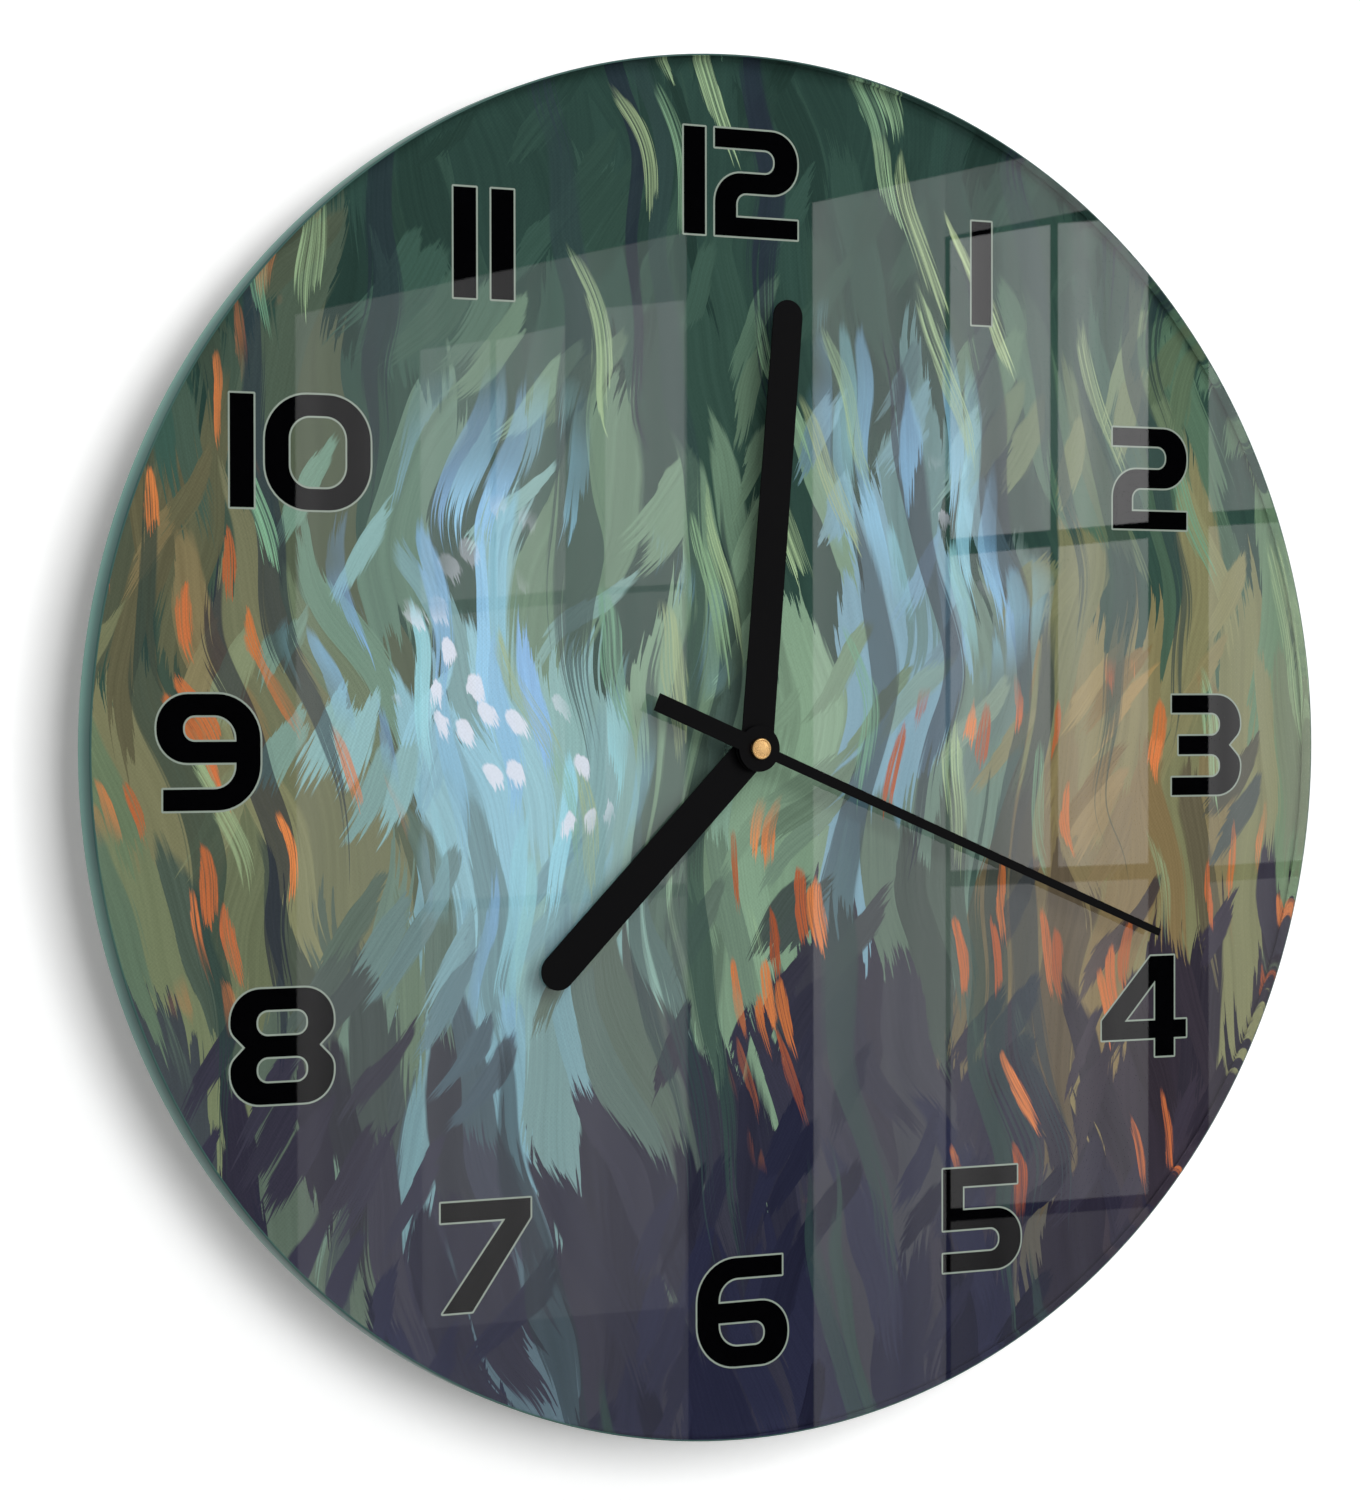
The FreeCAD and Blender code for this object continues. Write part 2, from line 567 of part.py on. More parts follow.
def add_sleeve(label, outer, inner, start, end, at=CENTRE):
    """A round sleeve between two depths; its bore runs through with an overrun at both ends."""
    rod = add_rod(f"{label}_outside", outer, start, end, at)
    overrun = "Size.running_gap"
    bore = add_rod(f"{label}_bore", inner, f"({start} - {overrun})", f"({end} + {overrun})", at)
    return cut(label, rod, bore)


def mesh_phase(teeth, phase, direction, other_teeth):
    """The angle of a tooth of the other wheel, in mesh with a wheel whose tooth is at phase."""
    offset = phase - direction
    return direction + math.pi - offset * teeth / other_teeth + math.pi / other_teeth


def toothed(name, teeth, pitch_radius, start, end, at, phase):
    """A toothed wheel with straight flanks between two depths; one tooth points at phase."""
    module = 2 * pitch_radius / teeth
    tip = pitch_radius + TOOTH_HEAD_SHARE * module
    root = pitch_radius - TOOTH_FOOT_SHARE * module
    step = 2 * math.pi / teeth
    half_width = TOOTH_WIDTH_SHARE * step / 2 * pitch_radius
    tip_angle = math.asin((half_width - TOOTH_LEAN_SHARE * (tip - pitch_radius)) / tip)
    root_angle = math.asin((half_width + TOOTH_LEAN_SHARE * (pitch_radius - root)) / root)

    def on(radius, angle):
        return Vector(radius * math.cos(angle), 0, radius * math.sin(angle))

    edges = []
    for tooth in range(teeth):
        middle = phase + tooth * step
        foot = on(root, middle - root_angle)
        rise = on(tip, middle - tip_angle)
        fall = on(tip, middle + tip_angle)
        heel = on(root, middle + root_angle)
        edges.append(Part.makeLine(foot, rise))
        edges.append(Part.Arc(rise, on(tip, middle), fall).toShape())
        edges.append(Part.makeLine(fall, heel))
        edges.append(
            Part.Arc(heel, on(root, middle + step / 2), on(root, middle + step - root_angle)).toShape()
        )
    wheel = doc.addObject("Part::Feature", name)
    thickness = value(end) - value(start)
    wheel.Shape = Part.Face(Part.Wire(edges)).extrude(Vector(0, -thickness, 0))
    wheel.Placement = Placement(Vector(value(at[0]), -value(start), value(at[1])), Rotation())
    return wheel


def pitch_radius(distance, teeth, other_teeth):
    """Pitch radius of a wheel from its centre distance and the two numbers of teeth."""
    return value(distance) * teeth / (teeth + other_teeth)


def rounded_wire(corners):
    """A closed wire through corners (x, z, radius), each rounded by a tangent arc."""
    edges = []
    last = None
    first = None
    count = len(corners)
    for i, (x, z, radius) in enumerate(corners):
        here = Vector(x, 0, z)
        before = Vector(corners[i - 1][0], 0, corners[i - 1][1])
        after = Vector(corners[(i + 1) % count][0], 0, corners[(i + 1) % count][1])
        back = (before - here).normalize()
        ahead = (after - here).normalize()
        start = end = here
        arc = None
        if radius:
            half = back.getAngle(ahead) / 2
            start = here + back * (radius / math.tan(half))
            end = here + ahead * (radius / math.tan(half))
            inward = (back + ahead).normalize()
            near = here + inward * (radius / math.sin(half) - radius)
            arc = Part.Arc(start, near, end).toShape()
        if last is not None:
            edges.append(Part.makeLine(last, start))
        if first is None:
            first = start
        if arc:
            edges.append(arc)
        last = end
    edges.append(Part.makeLine(last, first))
    return Part.Wire(edges)


def turned_about(loops, width, height):
    """Loops turned half round within their box, as 9 becomes 6."""
    return [[(width - x, height - z, radius) for x, z, radius in loop] for loop in loops]


def digit_loops(digit):
    """Outline and counters of a digit as (x, z, radius) corners, and its width."""
    names = [entry[0] for entry in SIZES if len(entry) > 1]
    n = {name: value(f"Size.{name}") for name in names if name.split("_")[0] in DIGIT_WORDS}
    top = n["numeral_height"]
    over = n["numeral_overshoot"]
    bar = n["numeral_bar"]
    stem = n["numeral_stem"]
    side = n["numeral_side"]
    low = (top - n["numeral_middle_bar"]) / 2
    high = (top + n["numeral_middle_bar"]) / 2
    bowl = n["numeral_bowl_radius"]
    inner = n["numeral_counter_radius"]
    waist = n["numeral_waist"]
    lobe = n["numeral_waist_radius"]
    big = n["numeral_big_radius"]
    big_inner = n["numeral_big_counter_radius"]
    w = n.get(f"{DIGIT_WORDS[digit]}_width")
    if digit == 0:
        outer = [(0, -over, big), (w, -over, big), (w, top + over, big), (0, top + over, big)]
        eye = [(stem, bar, big_inner), (w - stem, bar, big_inner)]
        eye += [(w - stem, top - bar, big_inner), (stem, top - bar, big_inner)]
        return [outer, eye], w
    if digit == 1:
        return [[(0, 0, 0), (w, 0, 0), (w, top, 0), (0, top, 0)]], w
    if digit == 2:
        upper = [(0, top, 0), (w, top, bowl), (w, low, bowl), (stem, low, inner), (stem, bar, 0)]
        lower = [(w, bar, 0), (w, 0, 0), (0, 0, 0), (0, high, bowl)]
        gap = [(w - side, high, inner), (w - side, top - bar, inner), (0, top - bar, 0)]
        return [upper + lower + gap], w
    if digit == 3:
        inset = n["three_inset"]
        right = [(0, top, 0), (w, top, bowl), (w, top / 2 + waist, lobe), (w - waist, top / 2, 0)]
        right += [(w, top / 2 - waist, lobe), (w, 0, bowl), (0, 0, 0), (0, bar, 0)]
        gaps = [(w - side, bar, inner), (w - side, low, inner), (inset, low, 0), (inset, high, 0)]
        gaps += [(w - side, high, inner), (w - side, top - bar, inner), (0, top - bar, 0)]
        return [right + gaps], w
    if digit == 4:
        right = n["four_stem_right"]
        left = right - stem
        under = n["four_bar_level"]
        over_bar = under + bar
        outer = [(n["four_apex"], top, 0), (right, top, 0), (right, over_bar, 0), (w, over_bar, 0)]
        outer += [(w, under, 0), (right, under, 0), (right, 0, 0), (left, 0, 0), (left, under, 0)]
        outer += [(0, under, 0), (0, n["four_slope_foot"], 0)]
        eye = [(left, over_bar + n["four_eye_height"], 0), (left, over_bar, 0)]
        eye += [(n["four_eye_left"], over_bar, 0)]
        return [outer, eye], w
    if digit == 5:
        reach = n["five_top_width"]
        outer = [(0, top, 0), (reach, top, 0), (reach, top - bar, 0), (stem, top - bar, 0)]
        outer += [(stem, high, 0), (w, high, bowl), (w, 0, bowl), (0, 0, 0), (0, bar, 0)]
        outer += [(w - side, bar, inner), (w - side, low, inner), (0, low, 0)]
        return [outer], w
    if digit == 7:
        outer = [(0, top, 0), (w, top, 0), (w, top - bar, 0), (n["seven_foot_right"], 0, 0)]
        outer += [(n["seven_foot_left"], 0, 0), (n["seven_inner"], top - bar, 0), (0, top - bar, 0)]
        return [outer], w
    if digit == 8:
        right = [(w, -over, bowl), (w, top / 2 - waist, lobe), (w - waist, top / 2, 0)]
        right += [(w, top / 2 + waist, lobe), (w, top + over, bowl)]
        left = [(w - x, z, radius) for x, z, radius in reversed(right)]
        lower = [(side, bar, inner), (w - side, bar, inner), (w - side, low, inner), (side, low, inner)]
        upper = [(x, z + high - bar, radius) for x, z, radius in lower]
        return [right + left, lower, upper], w
    foot = n["nine_foot_inset"]
    left = n["nine_left_radius"]
    w = n["nine_width"]
    outer = [(0, top + over, left), (w, top + over, big), (w, -over, big), (foot, -over, 0)]
    outer += [(foot, bar, 0), (w - stem, bar, big_inner), (w - stem, low, 0), (0, low, left)]
    eye = [(side, high, inner), (w - stem, high, 0), (w - stem, top - bar, big_inner)]
    eye += [(side, top - bar, inner)]
    nine = [outer, eye]
    return (nine if digit == 9 else turned_about(nine, w, top)), w


DIGIT_WORDS = ["zero", "one", "two", "three", "four", "five", "six", "seven", "eight", "nine", "numeral"]


def digit_face(digit):
    """The flat face of a digit, and its width."""
    loops, width = digit_loops(digit)
    face = Part.Face(rounded_wire(loops[0]))
    for loop in loops[1:]:
        face = face.cut(Part.Face(rounded_wire(loop))).Faces[0]
    return face, width


def numeral_faces():
    """The faces of all digits of the hours 1 to 12, in the plane of the dial."""
    ring = value("Size.numeral_ring_radius")
    height = value("Size.numeral_height")
    faces = []
    for hour in range(1, 13):
        digits = [int(character) for character in str(hour)]
        made = [digit_face(digit) for digit in digits]
        gap = value("Size.twin_gap" if digits == [1, 1] else "Size.digit_gap")
        width = sum(part[1] for part in made) + gap * (len(made) - 1)
        right, up = NUMERAL_SHIFT_SHARES.get(hour, (0, 0))
        turn = math.radians(90 - 30 * hour)
        x = ring * math.cos(turn) + right * height - width / 2
        z = ring * math.sin(turn) + up * height - height / 2
        for face, digit_width in made:
            placed = face.copy()
            placed.translate(Vector(x, 0, z))
            faces.append(placed)
            x += digit_width + gap
    return faces


def thickened(faces, depth, thickness):
    """Flat faces as solids, from a depth forward."""
    solids = []
    for face in faces:
        placed = face.copy()
        placed.translate(Vector(0, -value(depth), 0))
        solids.extend(placed.extrude(Vector(0, -value(thickness), 0)).Solids)
    return Part.makeCompound(solids)


def new_feature(label, shape):
    """A sub-part whose shape is worked out in this file."""
    feature = doc.addObject("Part::Feature", label)
    feature.Label = label
    feature.Shape = shape
    return feature


# Glass disc
def make_glass_dial():
    body = new_plate(
        "glass_dial",
        GLASS_BACK,
        "Size.glass_thickness",
        lambda sketch: (
            add_circle(sketch, "Size.glass_diameter / 2"),
            add_circle(sketch, GLASS_HOLE),
        ),
    )
    disc = body.Tip
    rims = [
        f"Edge{index}"
        for index, edge in enumerate(disc.Shape.Edges, start=1)
        if hasattr(edge.Curve, "Radius") and edge.Curve.Radius > value(GLASS_HOLE) * 2
    ]
    arris = body.newObject("PartDesign::Fillet", name_of(body, "arris"))
    arris.Base = (disc, rims)
    arris.setExpression("Radius", "Size.glass_arris")
    doc.recompute()
    return body


# Printed film with the numerals let into its front
def make_print():
    digits = numeral_faces()
    line = value("Size.keyline_width")
    outlines = [face.makeOffset2D(line) for face in digits]
    rings = [outline.cut(face) for outline, face in zip(outlines, digits)]
    numerals = new_feature("hour_numerals", thickened(digits, INK_BACK, "Size.ink_thickness"))
    keylines = new_feature("numeral_keylines", thickened(rings, INK_BACK, "Size.ink_thickness"))
    pockets = new_feature("print_pockets", thickened(outlines, INK_BACK, "Size.print_thickness"))
    disc = add_sleeve(
        "print_disc",
        "(Size.glass_diameter / 2 - Size.print_margin)",
        GLASS_HOLE,
        PAD_FRONT,
        PRINT_FRONT,
    )
    film = cut("artwork_print", disc, pockets)
    return [film, numerals, keylines]


# Hands and what holds them
def make_plain_hand(who, depth, tube_radius):
    tip = f"(Size.{who}_hand_length - Size.{who}_hand_tip_radius)"
    body = new_body(f"{who}_hand", depth, f"Size.{who}_angle")
    blade = new_sketch(body, "blade")
    add_blade(blade, f"Size.{who}_hand_base_radius", f"Size.{who}_hand_tip_radius", "0", tip)
    add_pad(body, blade, "sheet", "Size.hand_thickness")
    hub = new_sketch(body, "hub")
    add_circle(hub, "Size.hub_radius")
    add_pad(body, hub, "disc", "Size.hand_thickness")
    hole = new_sketch(body, "hole")
    add_circle(hole, f"{tube_radius} + Size.snug_gap")
    add_pocket(body, hole, "bore", "Size.hand_thickness")
    return body


def make_second_hand():
    body = new_body("second_hand", SECOND_HAND, "Size.second_angle")
    hub = new_sketch(body, "hub")
    add_circle(hub, "Size.hub_radius")
    add_pad(body, hub, "disc", "Size.second_hand_thickness")
    half_root, half_tip = "Size.second_hand_root_width / 2", "Size.second_hand_tip_width / 2"
    length = "Size.second_hand_length"
    needle = new_sketch(body, "needle")
    add_outline(
        needle,
        [(f"-{half_root}", "0"), (half_root, "0"), (half_tip, length), (f"-{half_tip}", length)],
    )
    add_pad(body, needle, "needle_sheet", "Size.second_hand_thickness")
    half_tail = "Size.second_tail_width / 2"
    tail = new_sketch(body, "tail")
    add_rectangle(tail, f"-{half_tail}", "-Size.second_tail_length", half_tail, "0")
    add_pad(body, tail, "tail_sheet", "Size.second_hand_thickness")
    hole = new_sketch(body, "hole")
    add_circle(hole, "Plan.arbor_radius + Size.snug_gap")
    add_pocket(body, hole, "bore", "Size.second_hand_thickness")
    return body


def make_socket(label, tube_radius, hand_depth):
    return add_sleeve(
        label,
        f"({tube_radius} + Size.socket_wall)",
        f"({tube_radius} + Size.snug_gap)",
        f"({hand_depth} - Size.socket_depth)",
        hand_depth,
    )


def make_cap():
    body = new_body("second_hand_cap", CAP_BACK)
    body.Placement.Rotation = FORWARD
    inner = "(Plan.arbor_radius + Size.snug_gap)"
    bore_end = "(Size.arbor_stand + Size.snug_gap)"
    sketch = new_sketch(body, "half_section")
    add_outline(
        sketch,
        [
            (inner, "0"),
            ("Size.cap_radius", "0"),
            ("Size.cap_radius", "(Size.cap_height - Size.cap_rim)"),
            ("(Size.cap_radius - Size.cap_rim)", "Size.cap_height"),
            ("0", "Size.cap_height"),
            ("0", bore_end),
            (inner, bore_end),
        ],
    )
    add_revolution(body, sketch, "turned", "V_Axis")
    return body


# Spindle: arbor, minute tube with cannon pinion, hour tube, and the bush round them
def make_second_arbor():
    arbor = add_rod("second_arbor", "Plan.arbor_radius", f"({PLATE_BACK} - Size.tube_stand)", ARBOR_END)
    arbor.Label = "second_arbor"
    return arbor


def make_bush():
    barrel = add_rod("bush_barrel", "Plan.bush_radius", CASE_INNER, BUSH_END)
    flange_end = f"({CASE_DEPTH} + Size.bush_flange_thickness)"
    flange = add_rod("bush_flange", "Plan.bush_flange_radius", CASE_DEPTH, flange_end)
    body = fuse("bush_body", [barrel, flange])
    start, end = f"({CASE_INNER} - Size.running_gap)", f"({BUSH_END} + Size.running_gap)"
    bore = add_rod("bush_bore", "(Plan.hour_tube_radius + Size.running_gap)", start, end)
    return cut("centre_bush", body, bore)


# Wheels of the train, each plane one wheel pitch in front of the last
def make_wheels():
    third_turn = math.radians(value("Size.third_direction"))
    intermediate_turn = math.radians(value("Size.intermediate_direction"))
    rotor_turn = math.radians(value("Size.rotor_direction"))
    motion_turn = math.radians(value("Size.motion_direction"))
    setting_turn = math.radians(value("Size.setting_direction"))
    over = "Size.pinion_overhang"

    rotor_phase = mesh_phase(INTERMEDIATE_TEETH, 0, rotor_turn, ROTOR_TEETH)
    pinion_phase = mesh_phase(SECOND_TEETH, 0, intermediate_turn, INTERMEDIATE_PINION_TEETH)
    third_phase = mesh_phase(SECOND_PINION_TEETH, 0, third_turn, THIRD_TEETH)
    drive_phase = mesh_phase(THIRD_PINION_TEETH, 0, third_turn + math.pi, DRIVE_TEETH)
    motion_phase = mesh_phase(CANNON_TEETH, 0, motion_turn, MOTION_TEETH)
    hour_phase = mesh_phase(MOTION_PINION_TEETH, 0, motion_turn + math.pi, HOUR_TEETH)
    setting_phase = mesh_phase(MOTION_TEETH, motion_phase, setting_turn, SETTING_TEETH)

    def wheel(name, teeth, distance, mate, plane, at, phase):
        radius = pitch_radius(distance, teeth, mate)
        return toothed(name, teeth, radius, wheel_depth(plane), wheel_front(plane), at, phase)

    def pinion(name, teeth, distance, mate, start, plane, at, phase):
        radius = pitch_radius(distance, teeth, mate)
        return toothed(name, teeth, radius, start, f"({wheel_front(plane)} + {over})", at, phase)

    distances = {
        "rotor": "Plan.rotor_distance",
        "intermediate": "Plan.intermediate_distance",
        "third": "Plan.third_distance",
        "motion": "Plan.motion_distance",
        "setting": SETTING_DISTANCE,
    }

    # Rotor pinion, with the arbor that carries the magnet
    magnet_back = f"(({STATOR_BACK} + {MOTOR_FRONT} - Size.magnet_thickness) / 2)"
    magnet_front = f"({magnet_back} + Size.magnet_thickness)"
    rotor_boss = f"({wheel_front(0)} + {over} + Size.boss_gap)"
    rotor = fuse(
        "rotor_pinion",
        [
            pinion(
                "rotor_teeth",
                ROTOR_TEETH,
                distances["rotor"],
                INTERMEDIATE_TEETH,
                f"({wheel_depth(0)} - {over})",
                0,
                ROTOR,
                rotor_phase,
            ),
            add_rod(
                "rotor_arbor",
                "Size.pivot_radius",
                f"({magnet_back} - Size.boss_gap)",
                f"({rotor_boss} + Size.pivot_depth)",
                ROTOR,
            ),
        ],
    )
    magnet = add_sleeve(
        "rotor_magnet",
        "Plan.magnet_radius",
        "(Size.pivot_radius + Size.snug_gap)",
        magnet_back,
        magnet_front,
        ROTOR,
    )

    # Intermediate and third wheels, each moulded in one with its pinion and pivots
    boss_top = f"({wheel_front(3)} + {over} + Size.boss_gap)"
    intermediate = fuse(
        "intermediate_wheel",
        [
            wheel(
                "intermediate_teeth",
                INTERMEDIATE_TEETH,
                distances["rotor"],
                ROTOR_TEETH,
                0,
                INTERMEDIATE,
                0,
            ),
            pinion(
                "intermediate_pinion",
                INTERMEDIATE_PINION_TEETH,
                distances["intermediate"],
                SECOND_TEETH,
                wheel_depth(0),
                1,
                INTERMEDIATE,
                pinion_phase,
            ),
            add_rod(
                "intermediate_pivots",
                "Size.pivot_radius",
                PLATE_BACK,
                f"({boss_top} + Size.pivot_depth)",
                INTERMEDIATE,
            ),
        ],
    )
    third = fuse(
        "third_wheel",
        [
            wheel(
                "third_teeth",
                THIRD_TEETH,
                distances["third"],
                SECOND_PINION_TEETH,
                2,
                THIRD,
                third_phase,
            ),
            pinion(
                "third_pinion",
                THIRD_PINION_TEETH,
                distances["third"],
                DRIVE_TEETH,
                wheel_depth(2),
                3,
                THIRD,
                0,
            ),
            add_rod(
                "third_pivots",
                "Size.pivot_radius",
                PLATE_BACK,
                f"({boss_top} + Size.pivot_depth)",
                THIRD,
            ),
        ],
    )

    # Second wheel, pressed on the second hand's arbor
    second_blank = fuse(
        "second_blank",
        [
            wheel(
                "second_teeth",
                SECOND_TEETH,
                distances["intermediate"],
                INTERMEDIATE_PINION_TEETH,
                1,
                CENTRE,
                0,
            ),
            pinion(
                "second_pinion",
                SECOND_PINION_TEETH,
                distances["third"],
                THIRD_TEETH,
                wheel_depth(1),
                2,
                CENTRE,
                0,
            ),
            add_rod(
                "second_hub",
                "(Plan.arbor_radius + Size.hub_wall)",
                f"({wheel_depth(1)} - Size.hub_wall)",
                wheel_front(1),
            ),
        ],
    )
    second_bore = add_rod(
        "second_bore",
        "(Plan.arbor_radius + Size.snug_gap)",
        f"({wheel_depth(1)} - 2 * Size.hub_wall)",
        f"({wheel_front(2)} + 2 * {over})",
    )
    second = cut("second_wheel", second_blank, second_bore)

    # Minute side: the drive wheel slips between a spring washer and the tube's shoulder
    tube_back = f"({wheel_depth(3)} - Size.clutch_gap - Size.clutch_spring_thickness - Size.running_gap)"
    drive_bore = "(Plan.minute_tube_radius + Size.running_gap)"
    drive = cut(
        "minute_drive_wheel",
        wheel("drive_teeth", DRIVE_TEETH, distances["third"], THIRD_PINION_TEETH, 3, CENTRE, drive_phase),
        add_rod("drive_bore", drive_bore, wheel_depth(2), wheel_depth(4)),
    )
    spring = add_sleeve(
        "clutch_spring",
        "Plan.clutch_spring_radius",
        "(Plan.minute_tube_radius + Size.snug_gap)",
        f"({wheel_depth(3)} - Size.clutch_gap - Size.clutch_spring_thickness)",
        f"({wheel_depth(3)} - Size.clutch_gap)",
    )
    tube_blank = fuse(
        "minute_tube_blank",
        [
            add_rod("minute_barrel", "Plan.minute_tube_radius", tube_back, MINUTE_TUBE_END),
            add_rod(
                "minute_shoulder",
                "Plan.clutch_collar_radius",
                f"({wheel_front(3)} + Size.clutch_gap)",
                f"({wheel_depth(4)} - {over})",
            ),
            pinion(
                "cannon_teeth",
                CANNON_TEETH,
                distances["motion"],
                MOTION_TEETH,
                f"({wheel_depth(4)} - {over})",
                4,
                CENTRE,
                0,
            ),
        ],
    )
    tube_bore = add_rod(
        "minute_tube_bore",
        "(Plan.arbor_radius + Size.running_gap)",
        wheel_depth(2),
        f"({MINUTE_TUBE_END} + Size.tube_stand)",
    )
    tube = cut("minute_tube", tube_blank, tube_bore)

    # Motion work: from the minute tube to the hour tube, and to the setting knob
    motion_blank = fuse(
        "motion_blank",
        [
            wheel(
                "motion_teeth",
                MOTION_TEETH,
                distances["motion"],
                CANNON_TEETH,
                4,
                MOTION,
                motion_phase,
            ),
            pinion(
                "motion_pinion",
                MOTION_PINION_TEETH,
                distances["motion"],
                HOUR_TEETH,
                wheel_depth(4),
                5,
                MOTION,
                0,
            ),
        ],
    )
    motion_bore = add_rod(
        "motion_bore",
        "(Size.stud_radius + Size.running_gap)",
        wheel_depth(3),
        CASE_INNER,
        MOTION,
    )
    motion = cut("motion_wheel", motion_blank, motion_bore)
    hour_blank = fuse(
        "hour_blank",
        [
            wheel(
                "hour_teeth",
                HOUR_TEETH,
                distances["motion"],
                MOTION_PINION_TEETH,
                5,
                CENTRE,
                hour_phase,
            ),
            add_rod("hour_barrel", "Plan.hour_tube_radius", wheel_depth(5), HOUR_TUBE_END),
        ],
    )
    hour_bore = add_rod(
        "hour_bore",
        "(Plan.minute_tube_radius + Size.running_gap)",
        wheel_depth(4),
        f"({HOUR_TUBE_END} + Size.tube_stand)",
    )
    hour = cut("hour_wheel", hour_blank, hour_bore)
    setting = cut(
        "setting_pinion",
        pinion(
            "setting_teeth",
            SETTING_TEETH,
            distances["setting"],
            MOTION_TEETH,
            f"({wheel_depth(4)} - {over})",
            4,
            SETTING,
            setting_phase,
        ),
        add_rod(
            "setting_bore",
            "(Size.knob_shaft_radius + Size.snug_gap)",
            wheel_depth(3),
            CASE_INNER,
            SETTING,
        ),
    )
    return [rotor, magnet, intermediate, third, second, drive, spring, tube, motion, hour, setting]


# Setting knob in its well, with the shaft that carries the setting pinion
def make_knob():
    head_front = "(Size.knob_recess + Size.knob_height)"
    pinion_front = f"({wheel_front(4)} + Size.pinion_overhang)"
    boss_top = f"({pinion_front} + Size.boss_gap)"
    body = new_body("setting_knob", "Size.knob_recess")
    body.setExpression("Placement.Base.x", SETTING[0])
    body.setExpression("Placement.Base.z", SETTING[1])
    head = new_sketch(body, "head")
    add_circle(head, "Plan.knob_radius")
    add_pad(body, head, "head_disc", "Size.knob_height")
    groove = new_sketch(body, "groove")
    add_circle(groove, "Size.knob_groove_radius", ("0", "Plan.knob_radius"))
    first = add_pocket(body, groove, "first_groove", "Size.knob_height")
    grip = body.newObject("PartDesign::PolarPattern", name_of(body, "grip"))
    grip.Originals = [first]
    axis = next(item for item in body.Origin.OriginFeatures if item.Role == "Y_Axis")
    grip.Axis = (axis, [""])
    grip.Angle = 360
    grip.Occurrences = KNOB_GROOVE_COUNT
    body.Tip = grip
    doc.recompute()
    shaft = new_sketch(body, "shaft", "Size.knob_height")
    add_circle(shaft, "Size.knob_shaft_radius")
    add_pad(body, shaft, "shaft_rod", f"{pinion_front} - {head_front}")
    pivot = new_sketch(body, "pivot", f"{pinion_front} - Size.knob_recess")
    add_circle(pivot, "Size.knob_pivot_radius")
    add_pad(body, pivot, "pivot_rod", "Size.boss_gap + Size.pivot_depth")
    return body


# Case of the movement
def make_front_case():
    inner_length = f"({CASE_INNER} - Size.cover_thickness)"
    body = new_body("front_case", "Size.cover_thickness")
    walls = new_sketch(body, "walls")
    add_case_outline(walls)
    add_rectangle(walls, f"-{ROOM_HALF}", CHAMBER_BOTTOM, ROOM_HALF, ROOM_HALF)
    add_rectangle(walls, f"-{ROOM_HALF}", BAY_BOTTOM, ROOM_HALF, BAY_TOP)
    add_pad(body, walls, "side_walls", inner_length)
    front = new_sketch(body, "front", inner_length)
    add_case_outline(front)
    add_circle(front, "(Plan.bush_radius + Size.snug_gap)")
    add_pad(body, front, "front_wall", "Size.case_front_wall")

    def add_bosses(piece, places, radius, hole, top):
        sketch = new_sketch(body, piece, inner_length)
        for at in places:
            add_circle(sketch, radius, at)
            if hole:
                add_circle(sketch, hole, at)
        add_pad(body, sketch, f"{piece}_rods", f"{CASE_INNER} - {top}", backwards=True)

    over = "Size.pinion_overhang + Size.boss_gap"
    pivot_hole = "(Size.pivot_radius + Size.running_gap)"
    add_bosses("posts", POSTS, "Size.post_radius", "Size.screw_hole_radius", PLATE_FRONT)
    add_bosses(
        "train_bosses",
        [THIRD, INTERMEDIATE],
        "Size.boss_radius",
        pivot_hole,
        f"({wheel_front(3)} + {over})",
    )
    add_bosses("rotor_boss", [ROTOR], "Size.boss_radius", pivot_hole, f"({wheel_front(0)} + {over})")
    add_bosses(
        "setting_boss",
        [SETTING],
        "Size.boss_radius",
        "(Size.knob_pivot_radius + Size.running_gap)",
        f"({wheel_front(4)} + {over})",
    )
    add_bosses("motion_stud", [MOTION], "Size.stud_radius", None, f"({wheel_depth(4)} - Size.boss_gap)")

    slots = new_sketch(body, "contact_slots")
    slot_inner = f"({CONTACT_INNER} - Size.contact_slot_gap)"
    overlap = "Size.contact_slot_gap"
    add_rectangle(
        slots,
        slot_inner,
        f"({BAY_TOP} - {overlap})",
        ROOM_HALF,
        f"({CHAMBER_BOTTOM} + {overlap})",
    )
    add_rectangle(
        slots,
        f"-{ROOM_HALF}",
        f"({BAY_TOP} - {overlap})",
        f"-{slot_inner}",
        f"({CHAMBER_BOTTOM} + {overlap})",
    )
    slot_length = f"({MOTOR_FRONT} + Size.contact_slot_gap - Size.cover_thickness)"
    add_pocket(body, slots, "contact_slot_cuts", slot_length)
    return body


